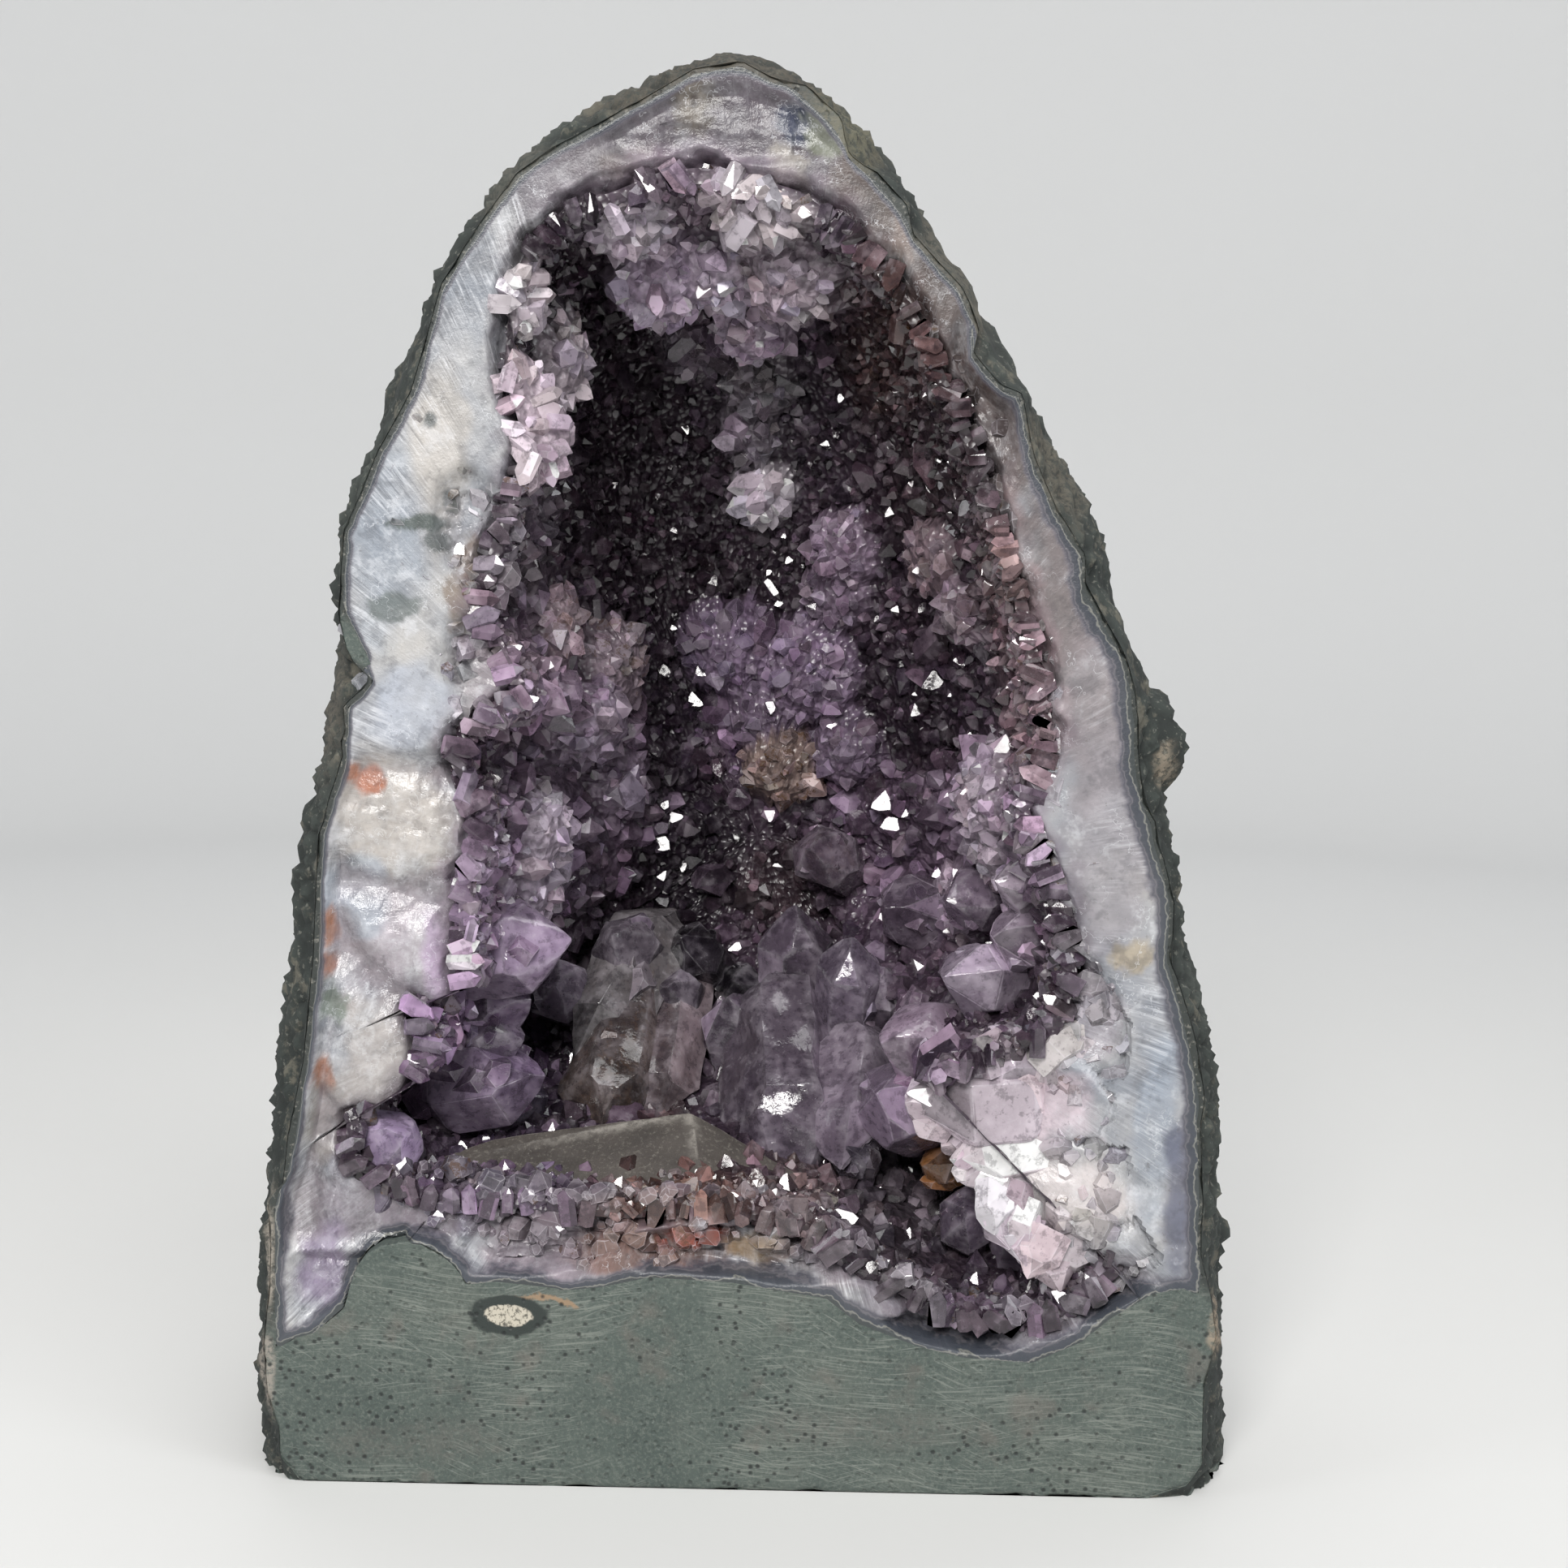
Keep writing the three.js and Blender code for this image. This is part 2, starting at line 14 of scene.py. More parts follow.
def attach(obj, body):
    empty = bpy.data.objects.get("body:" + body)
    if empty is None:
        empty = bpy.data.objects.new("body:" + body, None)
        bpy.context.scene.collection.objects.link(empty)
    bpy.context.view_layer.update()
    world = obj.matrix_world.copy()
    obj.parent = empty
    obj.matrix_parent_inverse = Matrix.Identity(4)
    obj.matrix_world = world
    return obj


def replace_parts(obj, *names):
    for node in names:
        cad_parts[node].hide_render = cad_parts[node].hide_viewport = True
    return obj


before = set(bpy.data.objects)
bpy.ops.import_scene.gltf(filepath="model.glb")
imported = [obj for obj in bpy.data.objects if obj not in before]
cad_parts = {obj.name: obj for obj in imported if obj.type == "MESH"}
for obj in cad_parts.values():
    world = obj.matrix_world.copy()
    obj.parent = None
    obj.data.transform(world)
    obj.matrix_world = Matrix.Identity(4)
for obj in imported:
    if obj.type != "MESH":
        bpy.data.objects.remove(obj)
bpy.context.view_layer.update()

MM = 0.001
SEED = 11
QUARTZ_IOR = 1.544

# Driving sizes, the same as the model's
DEPTH = 150
FACE_Y = -DEPTH / 2
BACK_Y = DEPTH / 2
CENTRE_Z = 165
WAIST_Y = FACE_Y + 48
SIDE_BULGE = 1.07
CROWN_BULGE = 1.05
BASE_BULGE = 1.3
BROAD_LUMP = 5
BROAD_SIZE = 52
SMALL_LUMP = 4
SMALL_SIZE = 26
LUMP_START = 30
EVEN_SPREAD = math.radians(38)
EVEN_STEPS = 8
BARK_BACK = 8
QUARTZ_BACK = 17
QUARTZ_BULGE = 1.02
HOLLOW_DEPTH = DEPTH - BARK_BACK - QUARTZ_BACK
SKIN = 4.5
HALF_APEX = math.radians(38.2)

# Where the photograph was taken from, to a tenth, and how far from the face and beside its middle,
# the way it looks, in degrees, and where its light comes from. The picture's side, the focal length
# and the shift of its middle are in the photograph's pixels.
EYE = np.array([19.9, -541.6, 244.0])
EYE_REACH, EYE_ASIDE = 467, -0.5
YAW, PITCH, ROLL = 2.5, 6, 0.66
PHOTO_SIDE, PHOTO_FOCAL, PHOTO_SHIFT = 1932, 2200, -54
SENSOR = 36
KEY_LIGHT = np.array([-220.0, -1250.0, 960.0])

# Outlines on the front face, as [x, z], seen from the front
FACE_OUTLINE = [
    [-120, 0], [-126, 7], [-127, 14], [-130, 23], [-131, 38], [-129, 55], [-128, 79], [-124, 84],
    [-123, 97], [-119, 118], [-117, 147], [-117, 180], [-114, 190], [-109, 202], [-109, 216],
    [-101, 223], [-105, 227], [-108, 240], [-108, 263], [-102, 276], [-89, 299], [-80, 326],
    [-73, 337], [-60, 354], [-51, 360], [-28, 370], [-14, 378], [-2, 380], [6, 376], [15, 374],
    [24, 366], [26, 359], [32, 354], [41, 346], [43, 339], [56, 326], [61, 316], [60, 311],
    [68, 302], [73, 300], [77, 285], [83, 273], [92, 259], [92, 252], [103, 231], [108, 215],
    [112, 180], [116, 165], [116, 148], [122, 127], [126, 111], [127, 82], [126, 68], [129, 57],
    [131, 45], [128, 31], [128, 10], [123, 4], [111, 0], [60, 0], [0, 0], [-60, 0],
]
QUARTZ_OUTLINE = [
    [-124, 40], [-114, 43], [-107, 50], [-104, 62], [-97, 67], [-86, 68], [-77, 62], [-74, 57],
    [-66, 58], [-55, 57], [-46, 56], [-37, 57], [-24, 60], [-2, 59], [24, 55], [33, 48], [49, 42],
    [62, 39], [80, 38], [93, 44], [101, 51], [112, 58], [122, 60], [122, 82], [121, 111],
    [117, 127], [111, 148], [111, 165], [107, 180], [103, 215], [98, 230], [87, 252], [78, 272],
    [68, 296], [56, 312], [51, 324], [38, 338], [20, 360], [8, 371], [-2, 375], [-14, 372],
    [-28, 366], [-52, 355], [-70, 334], [-76, 323], [-85, 298], [-98, 274], [-103, 262],
    [-103, 241], [-96, 224], [-104, 215], [-104, 203], [-112, 180], [-112, 147], [-118, 97],
    [-123, 79],
]
HOLLOW_OUTLINE = [
    [-107, 89], [-107, 100], [-92, 105], [-85, 121], [-90, 132], [-81, 127], [-76, 134],
    [-76, 167], [-72, 174], [-73, 191], [-78, 199], [-76, 208], [-59, 219], [-71, 244], [-63, 267],
    [-58, 284], [-63, 302], [-61, 324], [-56, 334], [-46, 343], [-34, 347], [-22, 352], [-12, 353],
    [4, 350],
    [14, 347], [22, 341], [37, 328], [46, 313], [61, 281], [74, 244], [82, 210], [76, 189],
    [87, 161], [90, 145], [86, 128], [73, 123], [58, 116], [48, 104], [61, 90], [73, 74], [85, 60],
    [104, 62], [97, 56], [84, 47], [64, 47], [46, 54], [33, 62], [22, 70], [-2, 77], [-33, 75],
    [-64, 78], [-90, 80],
]

# Knobs of the bark, as [x, y, z] and a radius
BARK_KNOBS = [
    ([106, -56, 206], 15), ([127, -50, 66], 10), ([-101, -58, 232], 9), ([-121, -48, 60], 14),
    ([26, -56, 352], 10), ([60, -56, 302], 11), ([-62, 36, 250], 24), ([60, 40, 110], 30),
    ([-84, 30, 96], 26),
]

# Where the sawn edge lies inside the silhouette: [x, z], half the stretch, and how far inside
EDGE_INSETS = [
    ([-120, 148], 66, 4.0), ([-108, 218], 12, 2.5), ([125, 112], 42, 1.5), ([112, 205], 18, 2.5),
    ([62, 308], 10, 1.0), ([28, 360], 8, 1.5),
]

# Where the bark keeps inside or outside the model's: [x, z], half the stretch, and how far out
BARK_SHIFTS = [
    ([88, 270], 60, -3.5), ([108, 205], 30, -1.5), ([52, 330], 30, -1.5), ([-92, 300], 50, -2.5),
    ([-60, 352], 34, -2.0), ([-108, 262], 24, -2.0), ([-123, 125], 60, 3.5), ([124, 128], 24, 2.5),
]
RIND = 1.3
EDGE_INSET = 1.8
THIN_RIND = (6, 13)

# Broken hollows of the quartz rim: [x, z], half width, half height and depth
RIM_BREAKS = [
    ([-95, 165], 22, 34, 5), ([-95, 114], 18, 20, 6), ([-58, 70], 26, 9, 5), ([6, 67], 34, 8, 5),
    ([58, 44], 20, 7, 8), ([78, 104], 20, 20, 6), ([92, 134], 9, 16, 4), ([-68, 225], 10, 16, 4),
    ([-72, 262], 9, 14, 3), ([-8, 362], 34, 9, 1.2), ([-110, 66], 12, 26, 4), ([62, 300], 10, 26, 3),
    ([92, 82], 16, 16, 4), ([96, 60], 16, 10, 4),
]

# Masses that bulge from the broken rim on the left, with grooves between them: outlines [x, z]
RIM_MASSES = [
    [[-116, 197], [-99, 202], [-84, 199], [-74, 190], [-72, 178], [-78, 168], [-92, 165],
     [-106, 168], [-118, 176]],
    [[-116, 164], [-104, 166], [-90, 163], [-80, 160], [-74, 150], [-75, 138], [-82, 129],
     [-92, 136], [-106, 148]],
    [[-116, 144], [-106, 146], [-94, 136], [-82, 126], [-88, 113], [-94, 104], [-108, 101],
     [-118, 112]],
    [[-118, 96], [-104, 97], [-96, 88], [-98, 76], [-104, 64], [-118, 62]],
]
GROOVE = 6.5

# Blocks of the pale chunk on the right: outline [x, z], and how far each stands back
CHUNK_BLOCKS = [
    ([[84, 122], [77, 132], [82, 142], [96, 144], [104, 132], [103, 118], [94, 116]], 3.0),
    ([[84, 72], [96, 70], [108, 78], [114, 68], [104, 58], [92, 58], [82, 64]], 3.0),
    ([[62, 94], [70, 98], [86, 99], [104, 98], [107, 80], [100, 70], [88, 71], [77, 77], [69, 84],
      [63, 89]], 1.2),
    ([[46, 108], [51, 116], [60, 122], [74, 124], [92, 121], [100, 112], [98, 100], [84, 97],
      [70, 96], [59, 98], [50, 102]], 0.0),
    ([[46, 104], [57, 99], [66, 94], [62, 87], [52, 88]], -2.5),
]

# The pale broken chunk low on the right slopes into the hollow: middle [x, z], reach, and depth
CHUNK_SLOPE = ([52, 106], 46, 15)

# The hump of basalt that reaches up into the quartz on the left, and the line around it
BASALT_HUMP = [
    [-111, 43], [-107.5, 49], [-106, 55], [-104, 61], [-101, 65], [-97, 67.5], [-92, 68.5], [-86, 68],
    [-81, 65.5], [-77, 62], [-74, 57.5], [-71, 50], [-78, 42], [-92, 38], [-104, 39],
]

# Round heads of points: [x, z] on the hollow's wall, radius, reach, colour, how clear, and brown specks
HEADS = [
    ([-32, 342], 12, 10, (0.62, 0.54, 0.63), 0.45, 0.0),
    ([-26, 334], 15, 15, (0.78, 0.62, 0.82), 0.4, 0.0),
    ([-10, 338], 15, 15, (0.72, 0.59, 0.74), 0.4, 0.0),
    ([2, 346], 16, 12, (0.56, 0.49, 0.53), 0.4, 0.0),
    ([12, 336], 17, 16, (0.56, 0.46, 0.54), 0.4, 0.0),
    ([0, 325], 14, 14, (0.68, 0.54, 0.69), 0.4, 0.0),
    ([-18, 318], 12, 6, (0.2, 0.155, 0.2), 0.6, 0.0),
    ([2, 308], 13, 7, (0.3, 0.26, 0.3), 0.6, 0.0),
    ([-60, 322], 11, 8, (0.7, 0.6, 0.66), 0.35, 0.1),
    ([-57, 308], 15, 11, (0.7, 0.59, 0.66), 0.35, 0.1),
    ([-59, 290], 18, 13, (0.74, 0.6, 0.69), 0.35, 0.1),
    ([-2, 294], 10, 7, (0.3, 0.26, 0.31), 0.6, 0.0),
    ([2, 276], 11, 9, (0.8, 0.72, 0.8), 0.35, 0.0),
    ([28, 260], 14, 12, (0.46, 0.34, 0.47), 0.5, 0.0),
    ([26, 246], 12, 9, (0.3, 0.22, 0.31), 0.55, 0.0),
    ([55, 256], 14, 8, (0.36, 0.26, 0.3), 0.5, 0.3),
    ([62, 242], 12, 7, (0.36, 0.27, 0.33), 0.5, 0.3),
    ([-9, 228], 17, 12, (0.3, 0.215, 0.33), 0.55, 0.0),
    ([17, 222], 19, 14, (0.34, 0.245, 0.37), 0.55, 0.0),
    ([2, 206], 15, 10, (0.26, 0.19, 0.28), 0.55, 0.0),
    ([8, 190], 14, 13, (0.4, 0.29, 0.26), 0.5, 0.9),
    ([30, 196], 13, 9, (0.26, 0.19, 0.28), 0.55, 0.1),
    ([-60, 234], 13, 9, (0.56, 0.42, 0.47), 0.45, 0.6),
    ([-49, 221], 17, 13, (0.5, 0.39, 0.46), 0.45, 0.7),
    ([-52, 203], 15, 10, (0.42, 0.33, 0.44), 0.5, 0.2),
    ([-46, 186], 13, 10, (0.44, 0.34, 0.46), 0.5, 0.0),
    ([-62, 176], 14, 9, (0.62, 0.52, 0.63), 0.4, 0.1),
    ([-64, 160], 13, 7, (0.6, 0.5, 0.62), 0.4, 0.1),
    ([69, 190], 15, 8, (0.56, 0.46, 0.55), 0.4, 0.0),
    ([72, 172], 13, 7, (0.56, 0.46, 0.55), 0.4, 0.0),
    ([68, 150], 14, 8, (0.46, 0.36, 0.46), 0.45, 0.0),
]

# Large single points: name, root, tip, radius, bevel, colour, how clear, and brown specks
GREAT_POINTS = [
    ("purple_left", [-94, -30, 136], [-50, -47, 147], 12, 0.3, (0.27, 0.2, 0.3), 0.5, 0.0),
    ("purple_under", [-90, -26, 122], [-62, -40, 128], 10, 0.3, (0.2, 0.14, 0.23), 0.6, 0.0),
    ("purple_over", [-88, -30, 154], [-66, -44, 163], 8, 0.3, (0.34, 0.27, 0.36), 0.5, 0.0),
    ("dark_left", [-96, -34, 98], [-58, -42, 107], 12, 0.3, (0.17, 0.12, 0.2), 0.6, 0.0),
    ("dark_left_over", [-92, -26, 112], [-64, -42, 117], 8, 0.3, (0.22, 0.165, 0.25), 0.6, 0.0),
    ("dark_low_left", [-88, -12, 86], [-60, -22, 94], 11, 0.3, (0.1, 0.08, 0.12), 0.7, 0.0),
    ("cloudy_centre", [-28, 40, 140], [-52, -6, 100], 14, 4.0, (0.17, 0.155, 0.16), 0.45, 0.1),
    ("smoky_left", [-40, 30, 130], [-44, -22, 82], 13, 3.5, (0.11, 0.082, 0.075), 0.6, 0.3),
    ("smoky_right", [-24, 34, 126], [-29, -14, 83], 11, 3.5, (0.13, 0.095, 0.105), 0.6, 0.15),
    ("cap_centre", [-34, 44, 116], [-43, 4, 138], 10, 0.4, (0.24, 0.2, 0.25), 0.5, 0.0),
    ("cap_left", [-60, 30, 112], [-60, -6, 124], 9, 0.4, (0.2, 0.16, 0.22), 0.5, 0.0),
    ("cap_right", [-20, 44, 104], [-26, 6, 122], 8, 0.4, (0.13, 0.105, 0.14), 0.6, 0.0),
    ("lavender_front", [8, 30, 124], [14, -34, 72], 17, 3.5, (0.15, 0.115, 0.16), 0.55, 0.0),
    ("lavender_left", [0, 26, 84], [-7, 2, 120], 11, 1.0, (0.13, 0.1, 0.14), 0.6, 0.0),
    ("lavender_tall", [14, 34, 84], [13, 16, 146], 11, 0.5, (0.15, 0.115, 0.16), 0.6, 0.0),
    ("lavender_column", [28, 22, 78], [31, -2, 140], 10, 0.5, (0.19, 0.15, 0.21), 0.5, 0.0),
    ("lavender_edge", [42, 30, 92], [41, 0, 130], 9, 0.4, (0.15, 0.11, 0.16), 0.5, 0.0),
    ("lavender_low", [34, 6, 112], [28, -34, 78], 13, 2.5, (0.18, 0.14, 0.19), 0.5, 0.0),
    ("round_right", [66, -22, 112], [39, -44, 118], 13, 1.2, (0.34, 0.25, 0.34), 0.45, 0.0),
    ("pyramid_right", [58, -10, 86], [38, -46, 103], 12, 0.3, (0.28, 0.21, 0.3), 0.5, 0.0),
    ("wall_right", [92, -20, 132], [56, -48, 138], 10, 0.3, (0.36, 0.29, 0.38), 0.45, 0.0),
    ("wall_right_low", [88, -14, 124], [64, -44, 126], 9, 0.3, (0.28, 0.2, 0.29), 0.45, 0.0),
    ("wall_right_up", [92, -30, 146], [70, -50, 150], 9, 0.3, (0.38, 0.3, 0.39), 0.45, 0.0),
    ("wall_right_top", [92, -34, 162], [70, -50, 166], 8, 0.3, (0.4, 0.33, 0.4), 0.45, 0.0),
    ("wall_right_back", [84, 0, 152], [58, -26, 156], 9, 0.3, (0.24, 0.18, 0.25), 0.5, 0.0),
    ("chunk_top", [94, -58, 118], [62, -62, 119], 10, 0.5, (0.5, 0.43, 0.5), 0.35, 0.0),
    ("chunk_upper", [92, -58, 108], [50, -61, 104], 12, 0.5, (0.56, 0.48, 0.54), 0.35, 0.0),
    ("chunk_middle", [92, -58, 96], [58, -62, 90], 11, 0.5, (0.6, 0.53, 0.56), 0.35, 0.0),
    ("chunk_lower", [96, -58, 84], [68, -63, 77], 10, 0.5, (0.6, 0.55, 0.56), 0.35, 0.0),
    ("chunk_foot", [102, -60, 72], [79, -64, 64], 9, 0.5, (0.56, 0.5, 0.53), 0.35, 0.0),
    ("low_right", [86, -30, 52], [76, -52, 66], 9, 0.3, (0.26, 0.2, 0.28), 0.5, 0.0),
    ("low_right_left", [70, -22, 56], [64, -50, 70], 9, 0.3, (0.2, 0.155, 0.22), 0.5, 0.0),
    ("dark_centre", [-12, 52, 112], [-22, 14, 136], 9, 0.3, (0.035, 0.028, 0.04), 0.8, 0.0),
    ("dark_centre_low", [0, 50, 106], [-6, 14, 122], 8, 0.3, (0.04, 0.034, 0.046), 0.8, 0.0),
    ("middle", [30, 52, 152], [18, 22, 164], 10, 0.3, (0.15, 0.11, 0.15), 0.6, 0.2),
    ("middle_right", [62, 30, 142], [42, 4, 148], 11, 0.3, (0.19, 0.14, 0.2), 0.55, 0.0),
    ("corner_left", [-108, -46, 82], [-92, -72, 97], 9, 0.3, (0.32, 0.24, 0.38), 0.4, 0.0),
    ("corner_low", [-110, -50, 72], [-96, -70, 82], 7, 0.3, (0.24, 0.2, 0.28), 0.4, 0.0),
    ("orange", [66, -22, 74], [52, -34, 79], 6, 0.3, (0.3, 0.13, 0.04), 0.5, 0.0),
    ("floor_glint", [34, -18, 76], [30, -34, 84], 7, 0.3, (0.14, 0.12, 0.16), 0.7, 0.0),
]

# The flat grey crystal across the hollow's floor: its tone and its corners
BLADE_TONE = (0.04, 0.035, 0.031)
FLOOR_BLADE = [
    [-88, -52, 84], [-72, -44, 88], [-16, -34, 94], [28, -44, 72], [-10, -60, 78], [-56, -62, 78],
    [18, -58, 68], [14, -30, 62], [-70, -30, 62], [-74, -60, 66], [-8, -60, 62],
]

# The crust by region: [x, z] on the wall, reach [x, z], colour, how clear, and the points' radius
REGIONS = [
    ([-46, 320], [20, 24], (0.03, 0.02, 0.028), 0.6, 1.9),      # dark, under the crown on the left
    ([-34, 275], [22, 40], (0.022, 0.014, 0.02), 0.6, 1.9),     # darkest
    ([-10, 354], [50, 12], (0.26, 0.22, 0.26), 0.5, 2.4),       # grey under the crown
    ([5, 295], [24, 20], (0.07, 0.055, 0.072), 0.65, 2.2),      # grey points in the middle
    ([44, 316], [18, 24], (0.075, 0.045, 0.04), 0.55, 1.7),     # brown points, upper right
    ([54, 284], [16, 22], (0.05, 0.034, 0.038), 0.6, 1.9),      # dark points, right
    ([74, 262], [9, 24], (0.22, 0.155, 0.15), 0.5, 1.8),        # pinkish edge, right
    ([54, 238], [14, 14], (0.065, 0.045, 0.06), 0.6, 2.4),      # dark, right
    ([79, 225], [8, 24], (0.27, 0.2, 0.21), 0.5, 2.2),          # pale edge, right
    ([48, 206], [18, 16], (0.045, 0.032, 0.045), 0.6, 2.8),     # dark pocket with glints
    ([-2, 250], [34, 12], (0.05, 0.036, 0.048), 0.6, 2.3),
    ([6, 205], [24, 26], (0.22, 0.16, 0.23), 0.6, 4.0),          # lavender middle
    # Painted shade, in part: this cleft's points are dark, and their near-black also stands in for the
    # shadow of a cleft that the smooth wall doesn't have.
    ([-28, 200], [10, 40], (0.03, 0.021, 0.032), 0.6, 2.6),     # dark cleft
    ([-64, 262], [8, 20], (0.16, 0.14, 0.16), 0.5, 2.6),        # grey crystals, left edge
    ([-62, 222], [10, 20], (0.3, 0.24, 0.29), 0.5, 3.0),
    ([-50, 200], [16, 20], (0.38, 0.31, 0.39), 0.6, 4.6),       # larger points, left middle
    ([-48, 170], [16, 16], (0.32, 0.26, 0.34), 0.6, 5.0),
    ([-68, 160], [9, 22], (0.38, 0.3, 0.4), 0.5, 2.6),          # frothy points beside the rim
    # Painted shade, in part: as above, the near-black also stands in for this lower cleft's shadow.
    ([-22, 155], [14, 24], (0.025, 0.018, 0.027), 0.65, 3.6),   # dark cleft, lower
    ([6, 150], [16, 12], (0.1, 0.072, 0.08), 0.6, 3.2),         # brown-grey
    ([38, 176], [18, 18], (0.19, 0.14, 0.2), 0.55, 4.2),
    ([66, 176], [14, 20], (0.34, 0.27, 0.35), 0.5, 4.4),
    ([54, 150], [22, 14], (0.3, 0.225, 0.31), 0.5, 4.8),
    ([-80, 130], [12, 16], (0.25, 0.18, 0.28), 0.6, 3.4),       # purple, left
    ([-76, 98], [18, 12], (0.05, 0.034, 0.062), 0.65, 3.6),     # dark, lower left
    ([-20, 108], [30, 16], (0.06, 0.045, 0.06), 0.6, 4.6),
    ([30, 108], [24, 22], (0.2, 0.15, 0.21), 0.55, 4.8),
    ([60, 70], [26, 12], (0.13, 0.12, 0.13), 0.6, 4.0),       # dark floor on the right
    ([-70, 80], [26, 6], (0.14, 0.11, 0.155), 0.5, 2.4),        # floor's edge, left
    ([-20, 79], [22, 6], (0.16, 0.1, 0.08), 0.5, 2.0),          # red and brown points of the floor
    ([16, 74], [14, 6], (0.17, 0.13, 0.125), 0.5, 2.3),
]

# Coloured stains and inclusions on the front: [x, z], half width, half height, colour, strength
STAINS = [
    ([-62, 212], 14, 30, (0.36, 0.3, 0.33), 0.6),      # pinkish, beside the left middle
    ([-95, 182], 20, 20, (0.42, 0.385, 0.355), 0.85),      # cream chunks on the left
    ([-96, 150], 18, 18, (0.38, 0.335, 0.375), 0.75),
    ([-98, 120], 14, 20, (0.4, 0.365, 0.345), 0.8),
    ([-104, 163], 10, 12, (0.3, 0.345, 0.4), 0.7),   # blue-grey patch
    ([-80, 150], 7, 18, (0.46, 0.34, 0.5), 0.7),       # lavender edge of the chunk
    ([-79, 281], 8, 28, (0.42, 0.39, 0.36), 0.7),      # cream, upper left
    ([-95, 254], 11, 34, (0.27, 0.3, 0.345), 0.6),    # blue-grey, upper left
    ([-87, 215], 12, 14, (0.38, 0.41, 0.48), 0.6),
    ([-92, 240], 9, 4, (0.1, 0.12, 0.115), 0.8),       # dark blots in the quartz
    ([-84, 262], 9, 2.2, (0.07, 0.085, 0.08), 0.95),
    ([-80, 257], 4, 3, (0.07, 0.08, 0.08), 0.9),
    ([-77, 267], 2.5, 4, (0.07, 0.08, 0.08), 0.9),
    ([-97, 276], 3, 2.5, (0.08, 0.09, 0.09), 0.8),
    ([-82, 288], 2, 2, (0.07, 0.08, 0.08), 0.9),
    ([-75, 243], 4, 9, (0.16, 0.11, 0.07), 0.7),       # brown specks beside the hollow
    ([-72, 254], 3, 6, (0.2, 0.13, 0.07), 0.7),
    ([-99, 194], 4, 4.5, (0.42, 0.17, 0.1), 0.95),     # orange blobs
    ([-104, 197], 2.5, 3, (0.4, 0.18, 0.11), 0.9),
    ([-111, 155], 2.5, 6, (0.4, 0.18, 0.1), 0.95),
    ([-111, 145], 2.5, 3.5, (0.36, 0.16, 0.1), 0.9),
    ([-113, 112], 3, 7, (0.3, 0.14, 0.085), 0.9),
    ([-110, 134], 4, 6, (0.14, 0.17, 0.14), 0.85),     # grey-green mottling
    ([-113, 98], 6, 12, (0.36, 0.34, 0.3), 0.85),      # gritty cream corner
    ([-110, 78], 9, 11, (0.2, 0.17, 0.2), 0.8),        # grey lump, lower left
    ([-114, 60], 8, 12, (0.24, 0.19, 0.28), 0.85),
    ([-84, 74], 16, 7, (0.17, 0.14, 0.2), 0.9),        # the floor's band, left to right
    ([-54, 66], 20, 12, (0.23, 0.19, 0.22), 0.9),
    ([-20, 68], 24, 10, (0.17, 0.09, 0.07), 0.85),
    ([-12, 70], 10, 3.5, (0.26, 0.045, 0.022), 0.9),
    ([7, 66], 12, 5, (0.24, 0.16, 0.08), 0.8),
    ([24, 65], 14, 8, (0.2, 0.165, 0.19), 0.85),
    ([50, 52], 16, 9, (0.22, 0.2, 0.23), 0.8),
    ([76, 42], 22, 7, (0.2, 0.2, 0.22), 0.85),
    ([104, 58], 14, 10, (0.2, 0.19, 0.21), 0.8),
    ([72, 110], 26, 16, (0.55, 0.46, 0.51), 0.9),      # pale chunk, right
    ([80, 82], 24, 14, (0.55, 0.5, 0.5), 0.9),      # pale chunk, right
    ([-6, 362], 54, 20, (0.07, 0.056, 0.07), 0.97),  # dark grey-purple crown
    ([-6, 347], 26, 5, (0.16, 0.125, 0.15), 0.6),        # paler broken quartz under it
    ([10, 350], 6, 10, (0.36, 0.33, 0.3), 0.8),        # cream flake
    ([-44, 350], 20, 12, (0.12, 0.105, 0.12), 0.85),
    ([-26, 352], 12, 5, (0.07, 0.05, 0.045), 0.7),
    ([34, 344], 15, 16, (0.085, 0.065, 0.06), 0.95),   # dark brown-grey, upper right
    ([54, 314], 15, 26, (0.07, 0.052, 0.048), 0.95),
    ([40, 334], 3, 9, (0.24, 0.19, 0.17), 0.6),
    ([68, 286], 12, 24, (0.09, 0.066, 0.062), 0.9),
    ([84, 250], 11, 30, (0.125, 0.1, 0.1), 0.85),
    ([92, 215], 10, 26, (0.22, 0.19, 0.2), 0.8),
    ([97, 175], 14, 34, (0.27, 0.25, 0.27), 0.7),
    ([104, 150], 6, 5, (0.34, 0.28, 0.19), 0.7),       # yellowish, right
    ([92, 133], 11, 14, (0.36, 0.32, 0.36), 0.6),
    ([-14, 368], 6, 8, (0.075, 0.062, 0.055), 0.95),   # the crown's brown-grey eye
    ([-14, 368], 3.4, 5, (0.15, 0.13, 0.11), 0.9),
    ([-14, 369], 1.5, 2.5, (0.05, 0.04, 0.036), 0.9),
    ([12, 363], 5, 6, (0.02, 0.028, 0.06), 0.9),       # dark blue spot
    ([20, 362], 6, 9, (0.14, 0.15, 0.11), 0.85),       # greenish grit
    ([112, 104], 7, 30, (0.26, 0.3, 0.36), 0.6),       # bluish, lower right
    ([118, 84], 5, 30, (0.08, 0.085, 0.13), 0.8),
]

